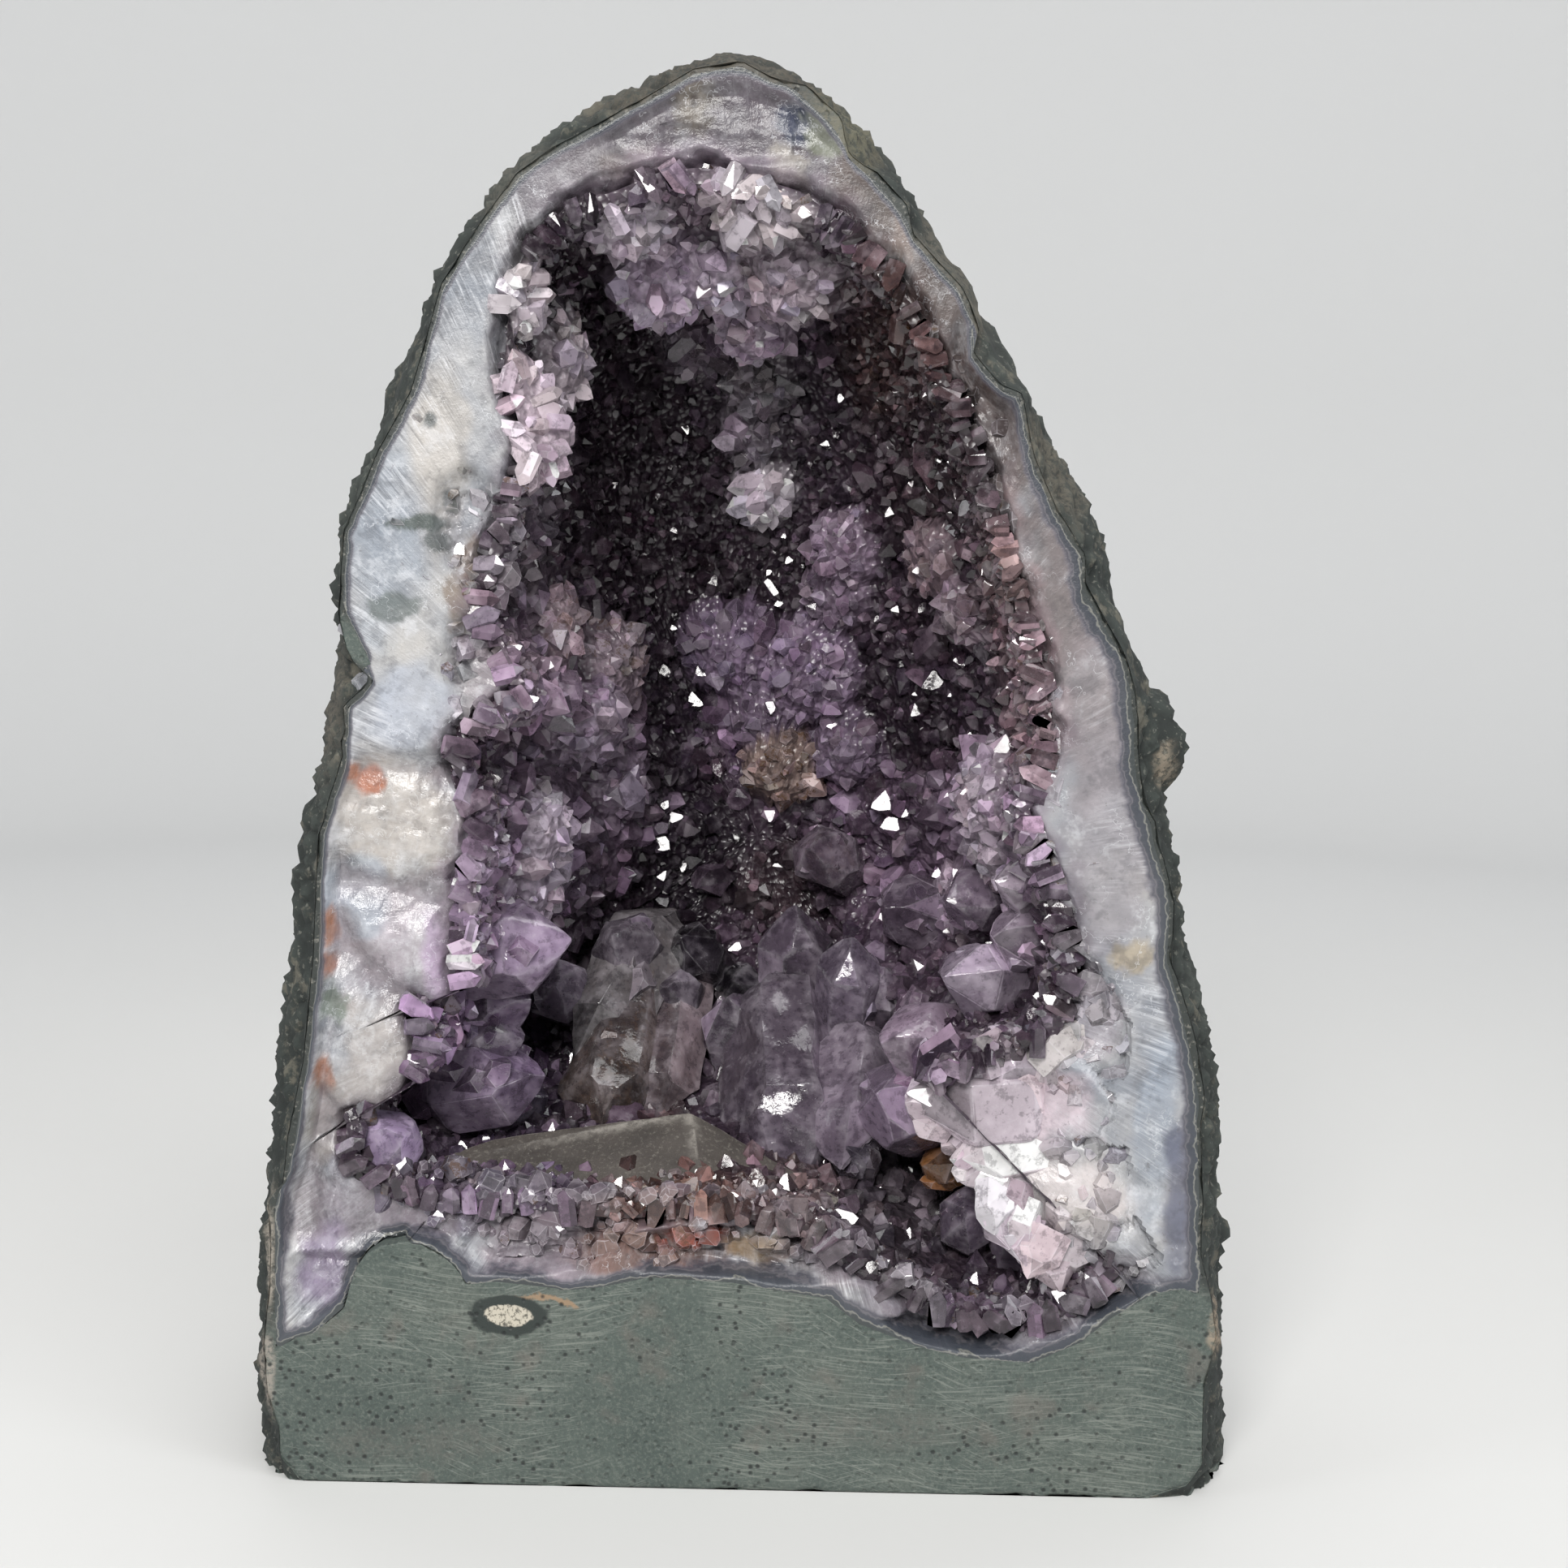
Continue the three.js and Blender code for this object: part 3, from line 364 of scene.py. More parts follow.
# Stains and inclusions of the basalt, in the same form
BASALT_STAINS = [
    ([-128, 62], 2.5, 18, (0.36, 0.32, 0.27), 0.7),    # gritty cream edge, left
    ([-129, 30], 2.5, 14, (0.34, 0.3, 0.26), 0.7),
    ([130, 48], 3, 8, (0.34, 0.27, 0.2), 0.8),         # tan, right
    ([112, 200], 4, 6, (0.3, 0.25, 0.19), 0.8),
    ([24, 362], 8, 8, (0.14, 0.15, 0.11), 0.7),        # greenish grit at the crown
    ([-14, 374], 44, 12, (0.075, 0.066, 0.052), 0.8),    # tan and dark bark of the crown
    ([26, 364], 14, 14, (0.11, 0.1, 0.07), 0.7),
    ([54, 330], 16, 24, (0.11, 0.1, 0.08), 0.7),
    ([84, 282], 12, 20, (0.13, 0.115, 0.09), 0.6),
    ([-62, 352], 14, 14, (0.1, 0.095, 0.08), 0.6),
    ([-112, 214], 8, 20, (0.12, 0.105, 0.085), 0.6),
    ([36, 18], 46, 6, (0.12, 0.105, 0.095), 0.3),      # faint pinkish patches
    ([-86, 12], 30, 7, (0.12, 0.105, 0.095), 0.3),
]


ANGLES = np.linspace(-math.pi, math.pi, 4097)


def smooth(value, low, high):
    """0 below low and 1 above high, with a soft step between."""
    share = np.clip((value - low) / (high - low), 0, 1)
    return share * share * (3 - 2 * share)


def reach_table(outline):
    """How far a closed outline reaches from the centre, at each of ANGLES, from +X towards +Z."""
    start = np.array(outline, float) - (0, CENTRE_Z)
    edge = np.roll(start, -1, axis=0) - start
    ray = np.stack([np.cos(ANGLES), np.sin(ANGLES)], -1)[:, None]
    cross = ray[..., 0] * edge[:, 1] - ray[..., 1] * edge[:, 0]
    distance = (start[:, 0] * edge[:, 1] - start[:, 1] * edge[:, 0]) / cross
    share = (start[:, 0] * ray[..., 1] - start[:, 1] * ray[..., 0]) / cross
    hit = (share >= -1e-9) & (share <= 1 + 1e-9)
    return np.where(hit, distance, 0).max(axis=1)


FACE_REACH = reach_table(FACE_OUTLINE)
HOLLOW_REACH = reach_table(HOLLOW_OUTLINE)


def bark_reach():
    """The reach of the silhouette."""
    point = np.stack([FACE_REACH * np.cos(ANGLES), CENTRE_Z + FACE_REACH * np.sin(ANGLES)], -1)
    reach = FACE_REACH.copy()
    for centre, half, shift in BARK_SHIFTS:
        away = np.linalg.norm(point - centre, axis=-1) / half
        reach = reach + shift * np.clip(1 - away**2, 0, 1)
    return reach


BARK_REACH = bark_reach()


def edge_reach():
    """The reach of the sawn face's edge, inside the silhouette where the bark bulges past it."""
    point = np.stack([FACE_REACH * np.cos(ANGLES), CENTRE_Z + FACE_REACH * np.sin(ANGLES)], -1)
    reach = BARK_REACH - EDGE_INSET * smooth(point[:, 1], 3, 15)
    for centre, half, inset in EDGE_INSETS:
        away = np.linalg.norm(point - centre, axis=-1) / half
        reach = reach - inset * np.clip(1 - away**2, 0, 1) ** 0.7
    return reach


def quartz_reach():
    """The reach of the quartz: the bark around it is a thin rind, except at the foot."""
    edge = edge_reach()
    outline = reach_table(QUARTZ_OUTLINE)
    share = np.clip((BARK_REACH - outline - THIN_RIND[0]) / (THIN_RIND[1] - THIN_RIND[0]), 0, 1)
    return (edge - RIND) * (1 - share) + np.minimum(outline, edge - RIND) * share


EDGE_REACH = edge_reach()
QUARTZ_REACH = quartz_reach()


def reach_at(table, angle):
    """The reach in a direction, read off a table of ANGLES."""
    turned = (np.asarray(angle) + math.pi) % (2 * math.pi) - math.pi
    return np.interp(turned, ANGLES, table)


def even_reach(angle, spread):
    """The reach of the front face, evened out over a spread of angles."""
    steps = np.arange(-EVEN_STEPS, EVEN_STEPS + 1) / EVEN_STEPS
    return sum(reach_at(BARK_REACH, angle + step * spread) for step in steps) / len(steps)


def even_steps(curve, count, low, high):
    """Parameters from low to high at which a curve's points lie evenly apart."""
    fine = np.linspace(low, high, 4001)
    step = np.linalg.norm(np.diff(curve(fine), axis=0), axis=-1)
    length = np.concatenate([[0], np.cumsum(step)])
    return np.interp(np.linspace(0, length[-1], count), length, fine)


def lattice(cell):
    """A fixed random number from -1 to 1 for each whole-numbered cell."""
    wave = np.sin(cell @ np.array([127.1, 311.7, 74.7])) * 43758.5453
    return 2 * (wave - np.floor(wave)) - 1


def lump_noise(points):
    """Smooth noise from -1 to 1, with lumps about one unit across."""
    cell = np.floor(points)
    share = points - cell
    share = share * share * (3 - 2 * share)
    total = np.zeros(points.shape[:-1])
    for corner in itertools.product((0, 1), repeat=3):
        weight = np.prod(np.where(corner, share, 1 - share), axis=-1)
        total += weight * lattice(cell + corner)
    return total


def rough_noise(points, octaves=4):
    """Noise of several sizes, each half as large and half as strong as the one before."""
    total = np.zeros(points.shape[:-1])
    for octave in range(octaves):
        total += lump_noise(points * 2**octave + 17.3 * octave) / 2**octave
    return total / 1.6


def scattered(cell):
    """The random centre of each unit cell."""
    shift = np.stack([lattice(cell + salt) for salt in (0.0, 31.0, 57.0)], -1)
    return cell + 0.5 + 0.42 * shift


def knob_noise(points):
    """1 on the tips of scattered knobs and 0 between them, with one knob in each unit cell."""
    cell = np.floor(points)
    nearest = np.full(points.shape[:-1], 9.0)
    for step in itertools.product((-1, 0, 1), repeat=3):
        nearest = np.minimum(nearest, np.linalg.norm(scattered(cell + step) - points, axis=-1))
    return np.clip(1 - nearest / 0.72, 0, 1) ** 0.8


def facets(points, size, salt):
    """A height from 0 to about 1 made of flat, tilted facets, and how near a ridge between two it is."""
    place = np.stack([points[..., 0] / size, 0 * points[..., 0] + salt, points[..., 2] / size], -1)
    cell = np.floor(place)
    height, second = np.full(place.shape[:-1], -9.0), np.full(place.shape[:-1], -9.0)
    for i, k in itertools.product((-1, 0, 1), repeat=2):
        other = cell + (i, 0, k)
        offset = place - scattered(other)
        plane = 0.9 * (lattice(other + 11.0) * offset[..., 0] + lattice(other + 23.0) * offset[..., 2])
        plane += 0.3 * lattice(other + 41.0) - 0.8 * np.hypot(offset[..., 0], offset[..., 2])
        second = np.maximum(second, np.minimum(height, plane))
        height = np.maximum(height, plane)
    return height + 1, np.clip(1 - (height - second) * size / 0.9, 0, 1)


def broken_relief(points):
    """Broken quartz: facets of three sizes, and their ridges."""
    total, ridges = np.zeros(points.shape[:-1]), np.zeros(points.shape[:-1])
    for size, share, salt in BREAK_SIZES:
        height, ridge = facets(points + 0.12 * size * rough_noise(points / size)[..., None], size, salt)
        total += share * height
        ridges = np.maximum(ridges, ridge * min(1, share * 2))
    return total, ridges


def polar(distance, angle, y):
    """Points at a distance and angle from the centre line."""
    return np.stack([distance * np.cos(angle), y + 0 * distance,
                     CENTRE_Z + distance * np.sin(angle)], -1)


def unit(vectors):
    """The same directions, one unit long."""
    return vectors / np.maximum(np.linalg.norm(vectors, axis=-1, keepdims=True), 1e-9)


def grid_normals(grid):
    """Normals of a grid whose second axis closes on itself, pointing away from the middle line."""
    down = np.gradient(grid, axis=0)
    around = np.roll(grid, -1, axis=1) - np.roll(grid, 1, axis=1)
    normal = unit(np.cross(down, around))
    away = (normal * (grid - grid.mean(axis=1, keepdims=True))).sum(-1).mean()
    return normal if away > 0 else -normal


def line_points(table):
    """The front face's line at a table's reach, as [x, z]."""
    return np.stack([table * np.cos(ANGLES), CENTRE_Z + table * np.sin(ANGLES)], -1)[:-1:16]


def distance_to(line, points):
    """Distance in the front view from points to a closed line."""
    edge = np.roll(line, -1, axis=0) - line
    flat = points[..., [0, 2]].reshape(-1, 2)
    result = []
    for part in np.array_split(flat, 1 + len(flat) // 8000):
        share = ((part[:, None] - line) * edge).sum(-1) / (edge**2).sum(-1)
        nearest = line + np.clip(share, 0, 1)[..., None] * edge
        result.append(np.linalg.norm(part[:, None] - nearest, axis=-1).min(axis=1))
    return np.concatenate(result).reshape(points.shape[:-1])


def make_piece(name, points, faces, material, marks=None, sharp=None):
    """A mesh object from points in millimetres and polygons, with named marks for its material.
    sharp is the angle in degrees above which an edge stays sharp, and 0 keeps every face flat."""
    mesh = bpy.data.meshes.new(name)
    mesh.vertices.add(len(points))
    mesh.vertices.foreach_set("co", np.asarray(points, np.float32).ravel() * MM)
    loops = np.concatenate([np.ravel(group) for group in faces]).astype(np.int32)
    sizes = np.concatenate([np.full(len(group), group.shape[1]) for group in faces])
    starts = np.concatenate([[0], np.cumsum(sizes)[:-1]]).astype(np.int32)
    mesh.loops.add(len(loops))
    mesh.loops.foreach_set("vertex_index", loops)
    mesh.polygons.add(len(sizes))
    mesh.polygons.foreach_set("loop_start", starts)
    mesh.update(calc_edges=True)
    mesh.validate()
    for key, values in (marks or {}).items():
        values = np.asarray(values, np.float32)
        if values.ndim == 1:
            mesh.attributes.new(key, "FLOAT", "POINT").data.foreach_set("value", values)
        else:
            colours = np.ones((len(values), 4), np.float32)
            colours[:, :values.shape[1]] = values
            layer = mesh.attributes.new(key, "FLOAT_COLOR", "POINT")
            layer.data.foreach_set("color", colours.ravel())
    mesh.polygons.foreach_set("use_smooth", np.full(len(mesh.polygons), sharp != 0))
    if sharp:
        mesh.set_sharp_from_angle(angle=math.radians(sharp))
    mesh.materials.append(material)
    piece = bpy.data.objects.new(name, mesh)
    bpy.context.collection.objects.link(piece)
    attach(piece, "root")
    return piece


def closed_grid(rows, columns):
    """Faces of a tube of rows around, closed at both ends by a fan to one point each.
    The first end's point comes after the rows, and the last end's after that."""
    row, column = np.meshgrid(np.arange(rows - 1), np.arange(columns), indexing="ij")
    right = (column + 1) % columns
    quads = np.stack([row * columns + column, row * columns + right,
                      (row + 1) * columns + right, (row + 1) * columns + column], -1)
    ends = np.arange(columns)
    turned = (ends + 1) % columns
    first = np.stack([turned, ends, np.full(columns, rows * columns)], -1)
    base = (rows - 1) * columns
    last = np.stack([base + ends, base + turned, np.full(columns, rows * columns + 1)], -1)
    return [quads.reshape(-1, 4), first, last]


def tube_piece(name, grid, ends, material, marks, sharp=None):
    """A closed piece from a grid of rows that run from one end point to the other."""
    rows, columns = grid.shape[:2]
    points = np.concatenate([grid.reshape(-1, 3), np.array(ends, float)])
    spread = {}
    for key, values in marks.items():
        flat = values.reshape(rows * columns, -1)
        flat = np.concatenate([flat, flat[[0, -1]]])
        spread[key] = flat[:, 0] if values.ndim == 2 else flat
    return make_piece(name, points, closed_grid(rows, columns), material, spread, sharp)


class Nodes:
    """Short calls that build one material's nodes. Sizes are in millimetres."""

    def __init__(self, name):
        self.material = bpy.data.materials.new(name)
        self.material.use_nodes = True
        self.tree = self.material.node_tree
        self.tree.nodes.clear()
        self.output = self.tree.nodes.new("ShaderNodeOutputMaterial")
        self.where = self.add("ShaderNodeTexCoord").outputs["Object"]

    def add(self, kind, inputs=None, **settings):
        """A node with its inputs, each a value or another node's socket, and its settings."""
        node = self.tree.nodes.new(kind)
        for key, value in settings.items():
            setattr(node, key, value)
        for key, value in (inputs or {}).items():
            self.put(node.inputs[key], value)
        return node

    def put(self, socket, value):
        """Links a socket into an input, or sets the input's own value."""
        if isinstance(value, bpy.types.NodeSocket):
            self.tree.links.new(value, socket)
        elif isinstance(value, (tuple, list)) and socket.type == "RGBA" and len(value) == 3:
            socket.default_value = (*value, 1)
        else:
            socket.default_value = value

    def place(self, sizes, turn=0.0):
        """The object's coordinates, turned about Y, with a size of its own along each axis."""
        inputs = {"Vector": self.where, "Scale": [size * MM for size in sizes], "Rotation": (0, turn, 0)}
        return self.add("ShaderNodeMapping", inputs, vector_type="TEXTURE").outputs[0]

    def noise(self, size, detail=4, roughness=0.55, distortion=0.0, where=None):
        """Noise from 0 to 1 whose largest clouds have about this size."""
        scale = 1 / (MM * size) if where is None else 1 / size
        inputs = {"Scale": scale, "Detail": detail, "Roughness": roughness, "Distortion": distortion}
        inputs["Vector"] = where or self.where
        return self.add("ShaderNodeTexNoise", inputs).outputs["Fac"]

    def cells(self, size):
        """Distance to the nearest of scattered points, with about one in each size."""
        inputs = {"Scale": 1 / (MM * size), "Vector": self.where}
        return self.add("ShaderNodeTexVoronoi", inputs).outputs["Distance"]

    def math(self, operation, first, second=0.0):
        """One sum of two numbers."""
        return self.add("ShaderNodeMath", {0: first, 1: second}, operation=operation).outputs[0]

    def product(self, *values):
        """All the values multiplied."""
        total = values[0]
        for value in values[1:]:
            total = self.math("MULTIPLY", total, value)
        return total

    def total(self, *values):
        """All the values added."""
        result = values[0]
        for value in values[1:]:
            result = self.math("ADD", result, value)
        return result

    def step(self, value, low, high, bottom=0.0, top=1.0):
        """A soft step from bottom to top as the value goes from low to high."""
        inputs = {"Value": value, "From Min": low, "From Max": high, "To Min": bottom, "To Max": top}
        return self.add("ShaderNodeMapRange", inputs, interpolation_type="SMOOTHSTEP").outputs["Result"]

    def ramp(self, value, stops):
        """A colour ramp from (place, colour) stops."""
        node = self.add("ShaderNodeValToRGB", {"Fac": value})
        elements = node.color_ramp.elements
        while len(elements) < len(stops):
            elements.new(0.5)
        for element, (where, colour) in zip(elements, stops):
            element.position = where
            element.color = (*colour, 1)
        return node.outputs["Color"]

    def mix(self, share, first, second):
        """The first colour where the share is 0, and the second where it is 1."""
        node = self.add("ShaderNodeMix", data_type="RGBA")
        for socket, value in ((0, share), (6, first), (7, second)):
            self.put(node.inputs[socket], value)
        return node.outputs[2]

    def mark(self, name):
        """A number that the mesh carries at each point."""
        return self.add("ShaderNodeAttribute", attribute_name=name).outputs["Fac"]

    def mark_colour(self, name):
        """A colour that the mesh carries at each point, and its alpha."""
        node = self.add("ShaderNodeAttribute", attribute_name=name)
        return node.outputs["Color"], node.outputs["Alpha"]

    def bump(self, height, distance, strength=1.0):
        """Raises the surface by height times distance, in millimetres."""
        inputs = {"Height": height, "Distance": distance * MM, "Strength": strength}
        return self.add("ShaderNodeBump", inputs).outputs["Normal"]

    def principled(self, inputs, volume=None):
        """Ends the material with its surface and, in clear crystal, what fills it."""
        node = self.add("ShaderNodeBsdfPrincipled", inputs)
        self.tree.links.new(node.outputs[0], self.output.inputs["Surface"])
        if volume is not None:
            self.tree.links.new(volume, self.output.inputs["Volume"])
        return self.material


def scratch_marks(n, size, turn, low, high):
    """Short curved saw and polish marks on the front, as streaks of noise that bend."""
    bend = n.add("ShaderNodeVectorMath", {0: n.place(size, turn)}, operation="ADD")
    sway = n.noise(50, 0)
    n.put(bend.inputs[1], n.add("ShaderNodeCombineXYZ", {2: n.product(sway, 16.0 / size[2])}).outputs[0])
    return n.step(n.noise(1, 2, 0.6, 0.3, bend.outputs[0]), low, high)


# Streaks on the sawn basalt: size along x, y and z, turn, threshold, and the size of their patches
SCRATCHES = (
    ((16, 16, 0.5), 0.04, 0.54, 40), ((11, 11, 0.42), -0.22, 0.57, 24), ((9, 9, 0.45), 0.45, 0.58, 28),
    ((22, 22, 0.7), -0.06, 0.6, 60),
)


def oval(n, middle, half, ragged=0.35):
    """How far a place of the front lies from an oval's middle: 1 is its edge, which is ragged."""
    sizes = (half[0], 1000, half[1])
    inputs = {"Vector": n.where, "Scale": [size * MM for size in sizes]}
    inputs["Location"] = [middle[0] * MM, 0, middle[1] * MM]
    place = n.add("ShaderNodeMapping", inputs, vector_type="TEXTURE").outputs[0]
    away = n.add("ShaderNodeVectorMath", {0: place}, operation="LENGTH").outputs["Value"]
    return n.total(away, n.product(n.math("SUBTRACT", n.noise(4, 5, 0.65), 0.5), 2 * ragged))


# The basalt's cloudy tones, on the sawn front and on the bark
FRONT_TONES = [(0.3, (0.052, 0.07, 0.063)), (0.5, (0.07, 0.09, 0.08)), (0.72, (0.092, 0.108, 0.094))]
BARK_TONES = [(0.3, (0.022, 0.028, 0.026)), (0.55, (0.04, 0.048, 0.043)), (0.75, (0.07, 0.08, 0.07))]


def basalt_material():
    """Green-grey basalt. The mark sawn is 1 on the sawn face, knob is 1 on the bark's knobs, rind is
    1 where the face is a thin ring, and tint is the colour of stains."""
    n = Nodes("basalt")
    sawn = n.mark("sawn")
    knob = n.mark("knob")
    stain, stained = n.mark_colour("tint")
    cloud = n.noise(36, 3, 0.6)
    grain = n.noise(0.9, 3, 0.75)
    front = n.ramp(cloud, FRONT_TONES)
    front = n.mix(n.step(n.noise(2.2, 3, 0.7), 0.5, 0.66, 0, 0.5), front, (0.035, 0.047, 0.043))
    front = n.mix(n.step(grain, 0.45, 0.7, 0, 0.5), front, (0.17, 0.19, 0.165))
    for size, turn, low, patch in SCRATCHES:
        where = n.step(n.noise(patch, 1), 0.44, 0.6)
        streak = n.product(scratch_marks(n, size, turn, low, low + 0.1), where, 0.6)
        front = n.mix(streak, front, (0.2, 0.22, 0.195))
    pinkish = n.product(n.step(n.noise(16, 4), 0.56, 0.72), 0.3)
    front = n.mix(pinkish, front, (0.17, 0.13, 0.115))
    from_seam = n.math("ABSOLUTE", n.math("SUBTRACT", oval(n, (-54, 42), (16, 12), 0.25), 1.0))
    seam = n.step(from_seam, 0.03, 0.1, 1, 0)
    upper = n.step(oval(n, (-46, 60), (26, 10), 0.2), 0.85, 1.0, 1, 0)
    front = n.mix(n.product(seam, upper, 0.85), front, (0.3, 0.2, 0.12))
    eye = oval(n, EYE_SPOT, (10.5, 5.6), 0.2)
    front = n.mix(n.step(eye, 0.95, 1.1, 1, 0), front, (0.022, 0.03, 0.027))
    core = oval(n, EYE_SPOT, (6.6, 3.2), 0.3)
    cream = n.mix(n.step(n.noise(1, 3, 0.7), 0.5, 0.6), (0.5, 0.46, 0.38), (0.16, 0.15, 0.12))
    front = n.mix(n.step(core, 0.9, 1.05, 1, 0), front, cream)
    rind = n.mix(n.step(n.noise(1.6, 4, 0.7), 0.54, 0.68), (0.028, 0.033, 0.03), (0.17, 0.165, 0.145))
    front = n.mix(n.mark("rind"), front, rind)
    bark = n.ramp(cloud, BARK_TONES)
    # Painted shade: the bark is painted darker in the hollows between its knobs, and keeps its own colour
    # on their tips.
    bark = n.mix(n.step(knob, 0.1, 0.8), n.mix(0.6, bark, (0.008, 0.01, 0.01)), bark)
    bark = n.mix(n.step(n.noise(5, 3, 0.7), 0.34, 0.48, 0.7, 0), bark, (0.014, 0.017, 0.016))
    bark = n.mix(n.step(n.noise(9, 4, 0.7), 0.54, 0.66, 0, 0.5), bark, (0.17, 0.155, 0.12))
    bark = n.mix(n.step(n.noise(1.4, 3, 0.6), 0.6, 0.68, 0, 0.4), bark, (0.22, 0.22, 0.19))
    colour = n.mix(n.step(sawn, 0.4, 0.6), bark, front)
    colour = n.mix(n.product(stained, n.step(n.noise(2, 5, 0.75), 0.42, 0.56, 0.25, 1)), colour, stain)
    # Painted shade: the pits, which the bump only dents, are painted near black for the shade inside
    # them. This happens in patches, and everywhere low on the left.
    pit = n.step(n.cells(2.6), 0.1, 0.34, 1, 0)
    pit_shade = n.product(pit, n.step(n.noise(22, 3), 0.46, 0.58), n.step(sawn, 0.4, 0.6, 0.3, 1))
    low_left = oval(n, (-112, 22), (26, 26), 0.4)
    pits_low_left = n.product(pit, n.step(low_left, 0.7, 1.1, 1, 0))
    pit_shade = n.total(n.product(pit_shade, n.step(low_left, 0.7, 1.3, 0, 1)), pits_low_left)
    colour = n.mix(n.product(pit_shade, 0.85), colour, (0.01, 0.013, 0.013))
    height = n.total(n.product(grain, 0.35), n.product(pit, sawn, -0.7))
    normal = n.bump(height, 0.5, 0.8)
    rough = n.step(n.total(sawn, n.product(grain, -0.2)), 0, 1, 0.9, 0.55)
    return n.principled({"Base Color": colour, "Roughness": rough, "Normal": normal})


# The dark-ringed cream inclusion of the foot
EYE_SPOT = (-62.5, 48.5)

# The narrowest and widest band of agate lines, the lines' tones from the basalt inwards, and the
# cloudy tones of the milky quartz
AGATE_WIDTHS = (1.7, 4.6)
AGATE_LINES = [
    (0.0, (0.03, 0.038, 0.038)), (0.1, (0.035, 0.042, 0.045)), (0.16, (0.2, 0.2, 0.18)),
    (0.23, (0.035, 0.042, 0.055)), (0.5, (0.045, 0.05, 0.064)), (0.58, (0.12, 0.115, 0.13)),
    (0.66, (0.06, 0.06, 0.078)), (0.85, (0.11, 0.105, 0.13)), (1.0, (0.11, 0.1, 0.12)),
]
MILKY_TONES = [
    (0.3, (0.17, 0.19, 0.225)), (0.45, (0.27, 0.28, 0.305)), (0.58, (0.36, 0.36, 0.37)),
    (0.72, (0.44, 0.425, 0.41)),
]


def quartz_material():
    """Milky quartz with agate lines along the basalt. Marks: along runs around the rim and
    from_basalt across it, in mm; broken is 1 where it is chipped; tint is the colour of stains."""
    n = Nodes("agate_quartz")
    across = n.mark("from_basalt")
    around, inwards = n.product(n.mark("along"), 0.8), n.product(across, 0.07)
    fibre_place = n.add("ShaderNodeCombineXYZ", {0: around, 1: inwards})
    fibre = n.noise(1, 3, 0.75, 0.4, fibre_place.outputs[0])
    milky = n.ramp(n.noise(30, 3, 0.62), MILKY_TONES)
    stain, stained = n.mark_colour("tint")
    mottle = n.step(n.noise(7, 3, 0.65), 0.3, 0.7, 0.8, 1.16)
    stain = n.add("ShaderNodeVectorMath", {0: stain, 3: mottle}, operation="SCALE").outputs[0]
    colour = n.mix(stained, milky, stain)
    darker = n.mix(0.6, colour, (0.03, 0.032, 0.04))
    lighter = n.mix(0.5, colour, (0.78, 0.79, 0.83))
    clean = n.step(stained, 0.55, 0.95, 1, 0.12)
    fibrous = n.product(n.step(n.noise(17, 3), 0.38, 0.56), n.step(across, 4, 20, 1, 0.3), clean)
    colour = n.mix(n.product(n.step(fibre, 0.34, 0.5, 0.7, 0), fibrous), colour, darker)
    colour = n.mix(n.product(n.step(fibre, 0.5, 0.66, 0, 0.85), fibrous), colour, lighter)
    cloud = n.noise(10, 4, 0.7)
    colour = n.mix(n.step(cloud, 0.36, 0.48, 0.5, 0), colour, darker)
    bright_cloud = n.product(n.step(cloud, 0.54, 0.68, 0, 0.55), n.step(clean, 0, 1, 0.35, 1))
    colour = n.mix(bright_cloud, colour, lighter)
    crack = n.math("ABSOLUTE", n.math("SUBTRACT", n.noise(12, 4, 0.65), 0.5))
    crack = n.product(n.step(crack, 0.0, 0.007, 0.75, 0), n.step(n.noise(26, 2), 0.42, 0.56))
    colour = n.mix(crack, colour, lighter)
    grit = n.noise(2, 3, 0.8)
    ridge = n.product(n.mark("ridge"), n.step(grit, 0.38, 0.58, 0.3, 0.9), n.step(clean, 0, 1, 0.4, 1))
    colour = n.mix(ridge, colour, lighter)
    colour = n.mix(n.step(grit, 0.62, 0.72, 0, 0.35), colour, (0.1, 0.085, 0.08))
    wobble = n.product(n.math("SUBTRACT", n.noise(7, 3, 0.65), 0.5), 1.1)
    edge = n.total(n.mark("agate"), wobble)
    lines = n.ramp(edge, AGATE_LINES)
    colour = n.mix(n.step(edge, 0.6, 1.1, 0.95, 0), colour, lines)
    chipped = n.product(n.cells(3), n.mark("broken"), 0.8)
    height = n.total(n.product(grit, 0.8), n.product(fibre, 0.3), chipped)
    return n.principled({
        "Base Color": colour, "Roughness": n.step(n.mark("broken"), 0, 1, 0.4, 0.24), "IOR": QUARTZ_IOR,
        "Normal": n.bump(height, 0.6, 0.5),
    })


